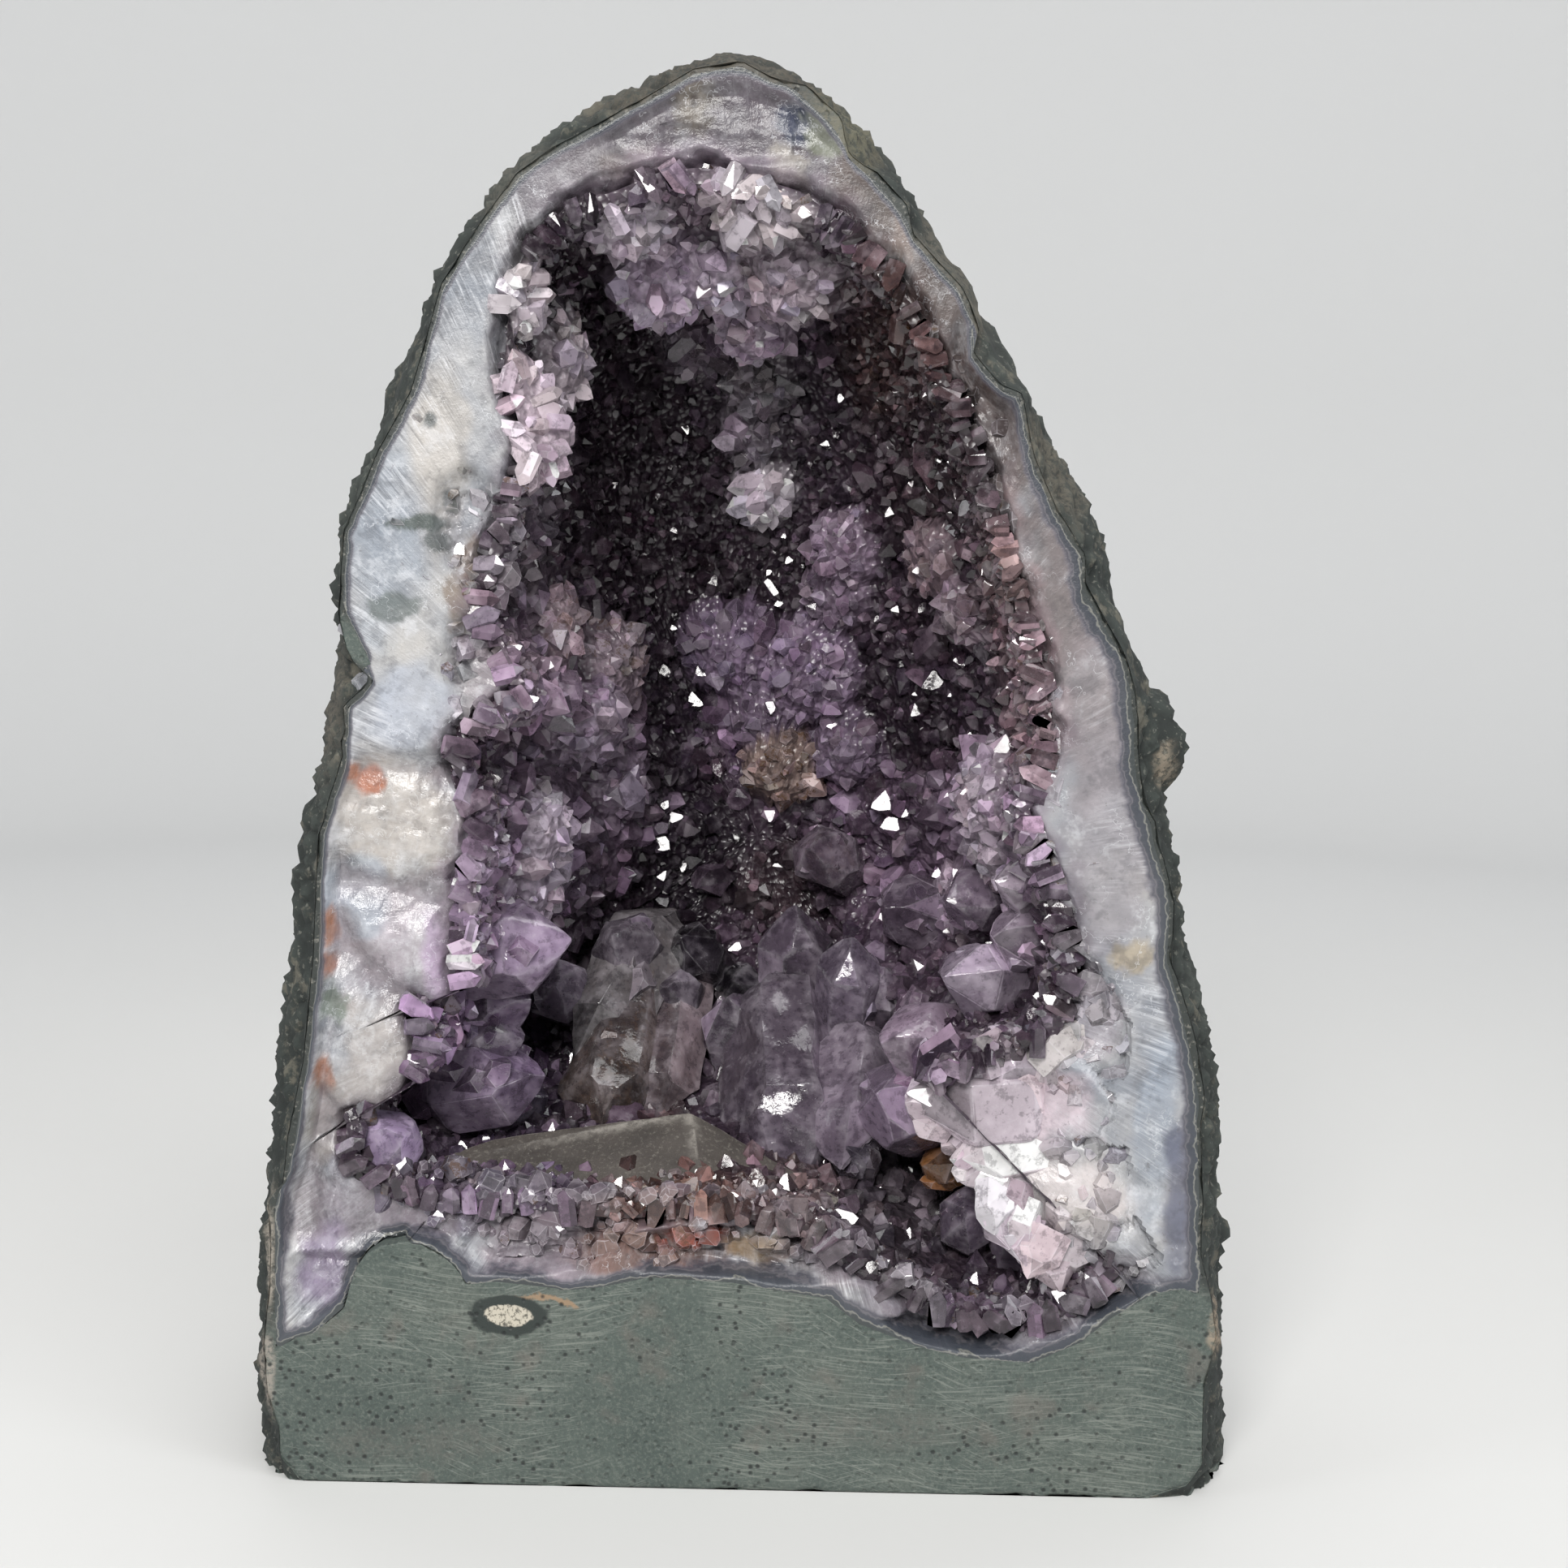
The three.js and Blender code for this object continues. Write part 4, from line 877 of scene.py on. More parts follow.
def crystal_material(name, absorb, density, roughness, mossy, wear):
    """See-through crystal that absorbs light by a colour and density, with its faces worn by wear.
    The mark tint is its colour, and the mark's alpha is how clear it is. Where it is mossy,
    the mark speck is 1 where brown moss grows in it."""
    n = Nodes(name)
    tint, clear = n.mark_colour("tint")
    veil = n.noise(8, 2, 0.62)
    colour = n.mix(n.step(veil, 0.45, 0.72, 0, 0.45), tint, n.mix(0.35, tint, (0.7, 0.64, 0.7)))
    haze = n.noise(3.4, 3, 0.75)
    colour = n.mix(n.step(haze, 0.5, 0.36, 0, 0.6), colour, n.mix(0.7, tint, (0.02, 0.015, 0.025)))
    colour = n.mix(n.step(haze, 0.56, 0.72, 0, 0.5), colour, n.mix(0.4, tint, (0.75, 0.7, 0.76)))
    # Painted highlight: where the mark edge is 1, along the facets' borders, the colour is painted paler,
    # for the light that bevelled edges would catch.
    edge = n.product(n.mark("edge"), n.step(haze, 0.4, 0.58, 0.25, 0.8))
    colour = n.mix(edge, colour, n.mix(0.5, tint, (0.8, 0.76, 0.82)))
    fog = n.product(clear, n.step(veil, 0.4, 0.68, 1, 0.45))
    if mossy:
        moss = n.product(n.step(n.noise(3, 3, 0.8), 0.52, 0.6), n.mark("speck"))
        colour = n.mix(moss, colour, (0.085, 0.045, 0.022))
        fog = n.product(fog, n.math("SUBTRACT", 1.0, moss))
    scuff = n.noise(1.4, 1, 0.75)
    inputs = {
        "Base Color": colour, "IOR": QUARTZ_IOR, "Transmission Weight": fog,
        "Roughness": n.step(scuff, 0.4, 0.75, roughness, roughness + 0.16),
    }
    if wear:
        height = n.total(n.product(haze, 0.8), n.product(scuff, 0.35), n.product(n.cells(3.5), 0.5))
        inputs["Normal"] = n.bump(height, 0.3 * wear, 0.35)
    volume = None
    if density:
        volume = n.add("ShaderNodeVolumeAbsorption", {"Color": absorb, "Density": density}).outputs[0]
    return n.principled(inputs, volume)


def blade_material():
    """The dull grey-brown crystal of the floor, with fine striations across it."""
    n = Nodes("floor_blade")
    tint, _ = n.mark_colour("tint")
    colour = n.mix(n.step(n.noise(9, 6, 0.65), 0.35, 0.7), n.mix(0.35, tint, (0.06, 0.05, 0.045)), tint)
    colour = n.mix(n.step(n.noise(1.2, 4, 0.75), 0.52, 0.7, 0, 0.45), colour, (0.26, 0.245, 0.21))
    # Painted highlight: the bevelled edges, where the mark edge is 1, are painted paler.
    edge = n.product(n.mark("edge"), n.step(n.noise(3, 4, 0.7), 0.4, 0.6, 0.2, 0.8))
    colour = n.mix(edge, colour, (0.3, 0.28, 0.25))
    line = n.noise(1, 4, 0.6, 0.1, n.place((0.7, 30, 12), 0.25))
    height = n.total(line, n.noise(1.1, 4, 0.8))
    normal = n.bump(height, 0.4, 0.5)
    return n.principled({"Base Color": colour, "Roughness": 0.5, "IOR": QUARTZ_IOR, "Normal": normal})


def skin_material():
    """The crystals' grown-together feet."""
    n = Nodes("crust_skin")
    tint, _ = n.mark_colour("tint")
    colour = n.mix(n.step(n.noise(3, 5), 0.35, 0.7), n.mix(0.6, tint, (0.01, 0.005, 0.01)), tint)
    normal = n.bump(n.cells(2.4), 1.2, 0.9)
    return n.principled({"Base Color": colour, "Roughness": 0.3, "IOR": QUARTZ_IOR, "Normal": normal})


def stained(points, stains, base=None):
    """The colour and strength of stains at points of the front, with ragged edges."""
    colour = np.zeros(points.shape[:-1] + (4,))
    if base is not None:
        colour[:] = base
    fine, broad = (0.5 * rough_noise(points / size + 3) for size in (3, 9))
    for (x, z), half_width, half_height, tint, strength in stains:
        ragged = broad if half_width + half_height > 16 else fine
        away = np.hypot((points[..., 0] - x) / half_width, (points[..., 2] - z) / half_height)
        share = strength * smooth(1.15 - away - ragged, 0, 0.55)
        blend_in(colour, np.array(tint), share)
    return colour


def on_face(points):
    """The same points, moved straight onto the sawn front."""
    return points * np.array([1, 0, 1]) + np.array([0, FACE_Y, 0])


def blend_in(colour, tint, share):
    """Blends a tint into colours and their strengths, in place."""
    total = share + colour[..., 3] * (1 - share)
    colour[..., :3] += (tint - colour[..., :3]) * (share / np.maximum(total, 1e-6))[..., None]
    colour[..., 3] = total


def bark_points(angle, turn):
    """The nodule's skin: turn runs from -1 at the face over 0 at the waist to 1 at the back."""
    turn = turn + 0 * angle
    quarter = math.pi / 2 * turn
    y = np.where(turn < 0, WAIST_Y + (WAIST_Y - FACE_Y) * turn,
                 WAIST_Y + (BACK_Y - WAIST_Y) * np.sin(quarter))
    behind = smooth(y - FACE_Y, 0, LUMP_START)
    reach = even_reach(angle, EVEN_SPREAD * (y - FACE_Y) / DEPTH)
    swell = np.where(turn < 0, 1 - turn**2, 1)
    width = np.where(turn < 0, 1, np.maximum(np.cos(quarter), 0) ** 0.8)
    lift = np.where(np.sin(angle) > 0, CROWN_BULGE, BASE_BULGE)
    x = reach * np.cos(angle) * (1 + (SIDE_BULGE - 1) * swell) * width
    z = reach * np.sin(angle) * (1 + (lift - 1) * swell) * width
    place = np.stack([x, y, z], -1)
    broad = BROAD_LUMP * np.maximum(-0.5, lump_noise(place / BROAD_SIZE))
    small = SMALL_LUMP * lump_noise(place / SMALL_SIZE)
    lump = 1 + behind * (broad + small) / np.maximum(reach * width, BROAD_SIZE)
    edge_share = reach_at(EDGE_REACH, angle) / reach_at(BARK_REACH, angle)
    lump -= (1 - smooth(y - FACE_Y, 0, 9)) * (1 - edge_share)
    return np.stack([x * lump, y + behind * small * (1 - width), CENTRE_Z + z * lump], -1)


def raise_knobs(grid, normal):
    """Lifts a grid onto the bark's large knobs."""
    for centre, radius in BARK_KNOBS:
        offset = grid - centre
        along = (offset * normal).sum(-1)
        room = along**2 - (offset**2).sum(-1) + radius**2
        lift = np.where(room > 0, np.sqrt(np.maximum(room, 0)) - along, 0)
        grid = grid + normal * np.clip(lift, 0, 6)[..., None]
    return grid


BARK_COLUMNS = 596
BARK_SIDE_ROWS = 34
BARK_BACK_ROWS = 54
FACE_ROWS = 20
BOWL_ROWS = 5
KNOB_SIZE = 4.6
KNOB_HEIGHT = 3.4
FOOT_ROUND = 1.5


def basalt_piece(material):
    """The basalt: bark outside, sawn in front and below, with a bowl for the quartz."""
    around = lambda angle: polar(reach_at(EDGE_REACH, angle), angle, FACE_Y)
    angle = even_steps(around, BARK_COLUMNS + 1, -math.pi, math.pi)[:-1]
    side = np.linspace(0, 1, BARK_SIDE_ROWS, endpoint=False)[1:] ** 1.5 - 1
    profile = lambda turn: np.stack([125 * np.cos(math.pi / 2 * turn) ** 0.8,
                                     (BACK_Y - WAIST_Y) * np.sin(math.pi / 2 * turn)], -1)
    back = even_steps(profile, BARK_BACK_ROWS + 1, 0, 1)[:-1]
    bark = bark_points(angle[None], np.concatenate([side, back])[:, None])
    normal = grid_normals(bark)
    bark = raise_knobs(bark, normal)
    knob = knob_noise(bark / KNOB_SIZE)
    patchy = 0.35 + 0.65 * smooth(lump_noise(bark / 33 + 5), -0.5, 0.3)
    patchy = np.maximum(patchy, smooth(-bark[..., 0], 80, 110))
    behind = smooth(bark[..., 1] - FACE_Y, 0.2, 2.5)
    height = KNOB_HEIGHT * patchy * (knob - 0.4)
    height = height + 1.1 * rough_noise(bark / 9) + 0.5 * rough_noise(bark / 3)
    bark = bark + normal * (behind * height)[..., None]
    share = np.concatenate([np.linspace(0, 0.85, FACE_ROWS - 5), [0.9, 0.94, 0.97, 0.99, 1]])[:, None]
    outer = reach_at(EDGE_REACH, angle)
    inner = reach_at(QUARTZ_REACH, angle)
    edge_points = polar(outer, angle, FACE_Y)
    outer = outer - 0.7 * smooth(rough_noise(edge_points / 3), 0.1, 0.8)
    chip = 0.5 + 1.2 * smooth(rough_noise(edge_points / 7), 0.0, 0.8)
    distance = inner + (outer - inner) * share
    bevel = np.clip(1 - (outer - distance) / chip, 0, 1) ** 2 * chip
    face = polar(distance, angle[None] + 0 * share, FACE_Y)
    face[..., 1] += bevel
    quarter = math.pi / 2 * np.linspace(0.97, 0.1, BOWL_ROWS)[:, None]
    bowl = polar(inner * np.cos(quarter) ** 0.8, angle[None] + 0 * quarter,
                 FACE_Y + (DEPTH - BARK_BACK) * np.sin(quarter))
    grid = np.concatenate([bowl, face, bark])
    low = grid[..., 2]
    rounded = FOOT_ROUND * np.exp(np.minimum(low - FOOT_ROUND, 0) / FOOT_ROUND)
    rounded = np.where(low > 0.2, rounded - 0.55 * (1 - low / FOOT_ROUND), 0)
    grid[..., 2] = np.where(low < FOOT_ROUND, rounded, low)
    zeros = [np.zeros(part.shape[:2]) for part in (bowl, face)]
    marks = {
        "sawn": np.concatenate([zeros[0], zeros[1] + 1, np.zeros(bark.shape[:2])]),
        "knob": np.concatenate([*zeros, knob]),
        "rind": np.ones(grid.shape[:2]) * (1 - smooth(outer - inner, 2.5, 6)),
        "tint": stained(grid, BASALT_STAINS),
    }
    marks["sawn"] = np.maximum(marks["sawn"], grid[..., 2] < 0.3)
    marks["tint"][..., 3] *= smooth(FACE_Y + 46 - grid[..., 1], 0, 34)
    ends = [[0, FACE_Y + DEPTH - BARK_BACK, CENTRE_Z], [0, BACK_Y, CENTRE_Z]]
    piece = tube_piece("basalt_body", grid, ends, material, marks, 50)
    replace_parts(piece, "basalt_matrix")


HOLLOW_LINE = np.array(HOLLOW_OUTLINE, float)
QUARTZ_LINE = line_points(QUARTZ_REACH)
HUMP_LINE = np.array(BASALT_HUMP, float)
HUMP_THICKNESS = 5.0
HUMP_COLUMNS = 180

# Broken quartz has facets of these sizes, with these shares of its relief, and a salt for each
BREAK_SIZES = ((11, 0.55, 3.0), (5, 0.3, 8.0), (2.4, 0.2, 5.0))


def within(line, points):
    """Whether points of the front view lie inside a closed line."""
    x, z = points[..., 0], points[..., 2]
    inside = np.zeros(x.shape, bool)
    for (ax, az), (bx, bz) in zip(line, np.roll(line, -1, axis=0)):
        crosses = (az > z) != (bz > z)
        inside ^= crosses & (x < ax + (bx - ax) * (z - az) / ((bz - az) or 1))
    return inside


def mass_lift(points):
    """How high the masses of the left rim stand, from 0 in their grooves to 1 on top."""
    drift = 2.5 * np.stack([rough_noise(points / 9), 0 * points[..., 0], rough_noise(points / 9 + 5)], -1)
    lift = np.zeros(points.shape[:-1])
    for outline in RIM_MASSES:
        line = np.array(outline, float)
        inside = distance_to(line, points + drift) * within(line, points + drift)
        lift = np.maximum(lift, smooth(inside, 0, 10) ** 0.6)
    return lift


def chunk_relief(points):
    """How far the right chunk's blocks stand back, how near an edge of one each point is, and whether
    it lies on one."""
    back, edge, on_block = (np.zeros(points.shape[:-1]) for _ in range(3))
    drift = 0.9 * np.stack([rough_noise(points / 6), 0 * points[..., 0], rough_noise(points / 6 + 5)], -1)
    for outline, depth in CHUNK_BLOCKS:
        line = np.array(outline, float)
        inside = within(line, points + drift)
        near = distance_to(line, points + drift)
        back = np.where(inside, depth + 1.6 * (1 - smooth(near, 0, 2.0)), back)
        edge = np.where(inside, 1 - smooth(near, 0.7, 2.2), edge)
        on_block = np.maximum(on_block, inside)
    return back, edge, on_block


def rim_depth(points):
    """How far the broken quartz lies behind the sawn face at points of the front, how far they are from
    the basalt and from the hollow, and how near a ridge."""
    from_hollow = distance_to(HOLLOW_LINE, points)
    from_basalt = distance_to(QUARTZ_LINE, points)
    broken = np.zeros(points.shape[:-1])
    for (x, z), half_width, half_height, depth in RIM_BREAKS:
        away = np.hypot((points[..., 0] - x) / half_width, (points[..., 2] - z) / half_height)
        away = away + 0.3 * rough_noise(points / 12)
        broken = np.maximum(broken, depth * smooth(1.2 - away, 0, 0.5))
    relief, ridges = broken_relief(points)
    lift = mass_lift(points)
    left = smooth(-points[..., 0], 70, 80) * smooth(points[..., 2], 60, 70)
    left = left * smooth(-points[..., 2], -204, -196)
    masses = left * ((1 - lift) * GROOVE + lift * (0.6 + 2.0 * relief))
    back, block_edge, on_block = chunk_relief(points)
    broken = broken * (0.2 + 1.2 * relief) * (1 - left) * (1 - 0.75 * on_block) + back * on_block
    broken = np.maximum(broken, masses)
    edge = smooth(RIM_EDGE + 3 * rough_noise(points / 8) - from_hollow, 0, RIM_EDGE)
    keep = smooth(from_basalt, 0.8, 4)
    waves = 0.25 * (1 + rough_noise(points / 6))
    (x, z), reach, deepest = CHUNK_SLOPE
    slope = deepest * smooth(1 - np.hypot(points[..., 0] - x, points[..., 2] - z) / reach, 0, 1)
    depth = keep * (broken + slope + edge * (1.5 + 4 * relief) + waves)
    depth = np.where(within(HUMP_LINE, points), np.maximum(depth, HUMP_THICKNESS + 1.5), depth)
    ridges = ridges * np.clip(broken / 2.5, 0, 1) * (1 - 0.6 * on_block)
    ridges = np.maximum(ridges, block_edge * on_block)
    return np.clip(depth, 0, 19), from_basalt, from_hollow, ridges


RIM_COLUMNS = 930
RIM_ROWS = 62
HIDDEN_ROWS = 5
RIM_EDGE = 4.0


def quartz_piece():
    """The bowl of quartz: its sawn and broken rim, and the wall behind the crystals."""
    around = lambda angle: polar(reach_at(QUARTZ_REACH, angle), angle, FACE_Y)
    angle = even_steps(around, RIM_COLUMNS + 1, -math.pi, math.pi)[:-1]
    outer = reach_at(QUARTZ_REACH, angle)
    inner = reach_at(HOLLOW_REACH, angle)
    share = np.linspace(0, 1, RIM_ROWS)[:, None]
    face = polar(outer + (inner - outer) * share, angle[None] + 0 * share, FACE_Y)
    depth, from_basalt, from_hollow, ridges = rim_depth(face)
    from_hump = np.where(within(HUMP_LINE, face), 0, distance_to(HUMP_LINE, face))
    from_basalt = np.minimum(from_basalt, from_hump)
    face[..., 1] += depth
    wall = wall_points(angle[None], np.linspace(0.08, 0.96, HIDDEN_ROWS)[:, None], 0)
    quarter = math.pi / 2 * np.linspace(0.97, 0.06, HIDDEN_ROWS)[:, None]
    belly = 1 + (QUARTZ_BULGE - 1) * np.sin(2 * quarter)
    back = polar(outer * np.cos(quarter) ** 0.8 * belly, angle[None] + 0 * quarter,
                 FACE_Y + (DEPTH - BARK_BACK) * np.sin(quarter))
    grid = np.concatenate([back, face, wall])
    full = lambda value: np.full((HIDDEN_ROWS, len(angle)), float(value))
    along = np.concatenate([[0], np.cumsum(np.linalg.norm(np.diff(around(angle), axis=0), axis=-1))])
    wide_right = smooth(face[..., 0] + 0.5 * (CENTRE_Z - face[..., 2]), -20, 60)
    wide = np.maximum(wide_right, 0.7 * smooth(-face[..., 2], -95, -75))
    width = AGATE_WIDTHS[0] + (AGATE_WIDTHS[1] - AGATE_WIDTHS[0]) * wide
    width = width * (1 + 0.35 * rough_noise(face / 14))
    marks = {
        "from_basalt": np.concatenate([full(0), from_basalt, full(30)]),
        "agate": np.concatenate([full(0), from_basalt / width, full(9)]),
        "along": along[None] + 0 * grid[..., 0],
        "broken": np.concatenate([full(0), np.clip(depth / 3 - 0.2, 0, 1), full(1)]),
        "ridge": np.concatenate([full(0), ridges, full(0)]),
        "tint": stained(grid, STAINS),
    }
    tint = marks["tint"][HIDDEN_ROWS:HIDDEN_ROWS + RIM_ROWS]
    blend_in(tint, region_mix(face.reshape(-1, 3))[:, :3].reshape(face.shape) * 0.8 + 0.02,
             0.7 * (1 - smooth(from_hollow + 4 * rough_noise(face / 5), 0.5, 8)))
    # Painted shade: on the left, the rim is painted darker where it lies deep behind the face, in the
    # grooves between its masses.
    left = smooth(-face[..., 0], 70, 80) * smooth(face[..., 2], 60, 70)
    blend_in(tint, np.array([0.2, 0.17, 0.19]), 0.7 * left * smooth(depth, 3.2, 6.5))
    ends = [[0, FACE_Y + HOLLOW_DEPTH, CENTRE_Z], [0, FACE_Y + DEPTH - BARK_BACK, CENTRE_Z]]
    piece = tube_piece("quartz_rim", grid[::-1], ends, quartz_material(),
                       {key: value[::-1] for key, value in marks.items()}, 40)
    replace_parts(piece, "agate_quartz_band")


def wall_curve(angle):
    """The wall narrows slower in its lower half."""
    return 0.9 + 0.25 * np.minimum(0, np.sin(angle))


def wall_points(angle, share, inset=SKIN):
    """The hollow's wall: share runs from 0 at the face to 1 at the back."""
    quarter = math.pi / 2 * share + 0 * angle
    distance = (reach_at(HOLLOW_REACH, angle) - inset) * np.cos(quarter) ** wall_curve(angle)
    return polar(distance, angle + 0 * quarter, FACE_Y + (HOLLOW_DEPTH - inset) * np.sin(quarter))


def wall_frames(angle, share):
    """Wall points of the crust, with the directions into the hollow there."""
    step = 0.03
    place = wall_points(angle, share)
    deeper = wall_points(angle, np.minimum(0.98, share + step))
    nearer = wall_points(angle, np.maximum(0, share - step))
    around = wall_points(angle + step, share) - wall_points(angle - step, share)
    normal = unit(np.cross(deeper - nearer, around))
    inwards = np.array([0, FACE_Y, CENTRE_Z]) - place
    flip = np.where((normal * inwards).sum(-1) < 0, -1.0, 1.0)
    return place, normal * flip[..., None]


def wall_behind(x, z):
    """The wall's angle and share behind a position of the front view."""
    angle = np.arctan2(z - CENTRE_Z, x)
    away = np.hypot(x, z - CENTRE_Z) / (reach_at(HOLLOW_REACH, angle) - SKIN)
    share = np.arccos(np.minimum(0.999, away) ** (1 / wall_curve(angle))) / (math.pi / 2)
    return angle, share


def lift_by_heads(place, normal):
    """Lifts wall points onto the heads, turns their directions to stand on them, and names the head."""
    turned = normal.copy()
    dome_at = np.zeros(place.shape[:-1])
    best = np.zeros(place.shape[:-1])
    which = np.full(place.shape[:-1], -1)
    for number, ((x, z), radius, reach, *_) in enumerate(HEADS):
        centre, out = wall_frames(*wall_behind(x, z))
        offset = place - centre
        away = np.linalg.norm(offset, axis=-1) / (radius * (1 + 0.2 * rough_noise(place / 9)))
        dome = np.sqrt(np.clip(1 - away**2, 0, 1))
        taller = dome * reach > best
        best = np.where(taller, dome * reach, best)
        lean = unit(out * np.maximum(dome, 0.15)[..., None] + 1.1 * offset / radius)
        turned = np.where(taller[..., None], lean, turned)
        dome_at = np.where(taller, dome, dome_at)
        which = np.where(taller, number, which)
    best = best * smooth(place[..., 1] + best * normal[..., 1] - FACE_Y, 1, 15)
    return place + normal * best[..., None], turned, which


# The crust away from every region, how much that counts, how far the regions' edges wander, and how
# much redder than its table the whole crust is
PLAIN_REGION = np.array([0.1, 0.075, 0.1, 0.6, 3.0])
PLAIN_WEIGHT = 0.03
REGION_DRIFT = 7
WINE = np.array([1.02, 0.92, 1.0, 1.0, 1.0])


def region_mix(points):
    """The crust's colour, clearness and point radius at places of the hollow."""
    weight_sum = np.full(len(points), PLAIN_WEIGHT)
    total = np.zeros((len(points), 5)) + PLAIN_REGION * PLAIN_WEIGHT
    drift = np.stack([rough_noise(points / 22 + salt) for salt in (1.0, 9.0)], -1) * REGION_DRIFT
    for (x, z), (reach_x, reach_z), tint, clear, radius in REGIONS:
        across = (points[:, 0] + drift[:, 0] - x) / reach_x
        up = (points[:, 2] + drift[:, 1] - z) / reach_z
        away = across**2 + up**2
        weight = np.exp(-3.0 * away)
        weight_sum += weight
        total += weight[:, None] * np.array([*tint, clear, radius])
    return total / weight_sum[:, None] * WINE


def plane_corners(planes):
    """Corners of the convex solid that planes (normal, distance) enclose, and each plane's corners."""
    normals = np.array([normal for normal, _ in planes])
    distances = np.array([distance for _, distance in planes])
    corners = []
    for trio in itertools.combinations(range(len(planes)), 3):
        matrix = normals[list(trio)]
        if abs(np.linalg.det(matrix)) < 1e-4:
            continue
        corner = np.linalg.solve(matrix, distances[list(trio)])
        inside = (normals @ corner <= distances + 1e-5).all()
        if inside and not any(np.linalg.norm(corner - other) < 1e-4 for other in corners):
            corners.append(corner)
    corners = np.array(corners)
    polygons = []
    for normal, distance in planes:
        on_plane = np.flatnonzero(np.abs(corners @ normal - distance) < 1e-3)
        if len(on_plane) < 3:
            continue
        middle = corners[on_plane].mean(axis=0)
        across = unit(corners[on_plane[0]] - middle)
        up = np.cross(normal, across)
        turn = np.arctan2((corners[on_plane] - middle) @ up, (corners[on_plane] - middle) @ across)
        polygons.append(on_plane[np.argsort(turn)])
    return corners, polygons


# The root of a quartz point of unit radius, how many shapes of points there are, and the faces of
# a broken piece
ROOT = -6.0
VARIANTS = 36
CHIP_FACES = 15


def quartz_shape(random, small_faces=(0.1, 0.5)):
    """A quartz point of unit radius with its tip near the origin and its root at z = ROOT."""
    planes = [(np.array([0.0, 0.0, -1.0]), -ROOT)]
    for side in range(6):
        turn = side * math.pi / 3
        outwards = np.array([math.cos(turn), math.sin(turn), 0])
        planes.append((outwards, random.uniform(0.82, 1.12)))
        slope = outwards * math.cos(HALF_APEX) + np.array([0, 0, math.sin(HALF_APEX)])
        raised = random.uniform(*small_faces) if side % 2 else random.uniform(0, 0.16)
        planes.append((slope, raised * math.sin(HALF_APEX)))
    return plane_corners(planes)


def double_point(random, radius, length, small_faces=(0.1, 0.4)):
    """Corners of a large quartz crystal with its tip at the origin and a blunter tip at its root."""
    planes = []
    for side in range(6):
        turn = side * math.pi / 3
        outwards = np.array([math.cos(turn), math.sin(turn), 0])
        planes.append((outwards, radius * random.uniform(0.84, 1.08)))
        slope = outwards * math.cos(HALF_APEX) + np.array([0, 0, math.sin(HALF_APEX)])
        raised = random.uniform(*small_faces) if side % 2 else random.uniform(0, 0.16)
        planes.append((slope, raised * radius * math.sin(HALF_APEX)))
        back = outwards * math.cos(HALF_APEX) - np.array([0, 0, math.sin(HALF_APEX)])
        raised = random.uniform(0, 0.5) * radius
        planes.append((back, (length + raised) * math.sin(HALF_APEX)))
    corners, _ = plane_corners(planes)
    return corners


def turned_axes(axis, spin):
    """Two directions square to each axis, turned about it by spin."""
    helper = np.where(np.abs(axis[:, 2:3]) < 0.9, [[0, 0, 1.0]], [[1.0, 0, 0]])
    first = unit(np.cross(axis, helper))
    second = np.cross(axis, first)
    cos, sin = np.cos(spin)[:, None], np.sin(spin)[:, None]
    return first * cos + second * sin, second * cos - first * sin


def chip_shape(random):
    """A broken piece of unit radius, as corners and polygons."""
    order = np.arange(CHIP_FACES) + 0.5
    z = 1 - 2 * order / CHIP_FACES
    turn = order * math.pi * (1 + math.sqrt(5))
    flat = np.sqrt(1 - z * z)
    even = np.stack([flat * np.cos(turn), flat * np.sin(turn), z], -1)
    directions = unit(even + 0.22 * random.standard_normal(even.shape))
    return plane_corners([(direction, random.uniform(0.78, 1.0)) for direction in directions])


def facet_rings(ring, highlight_border):
    """A polygon's corners, and the same ones moved inwards by the width of a light border, which carries
    the facet's painted edge highlight.
    """
    middle = ring.mean(axis=1, keepdims=True)
    reach = np.linalg.norm(ring - middle, axis=-1, keepdims=True)
    return ring + (middle - ring) * np.minimum(0.45, highlight_border[:, None, None] / np.maximum(reach, 1e-6))


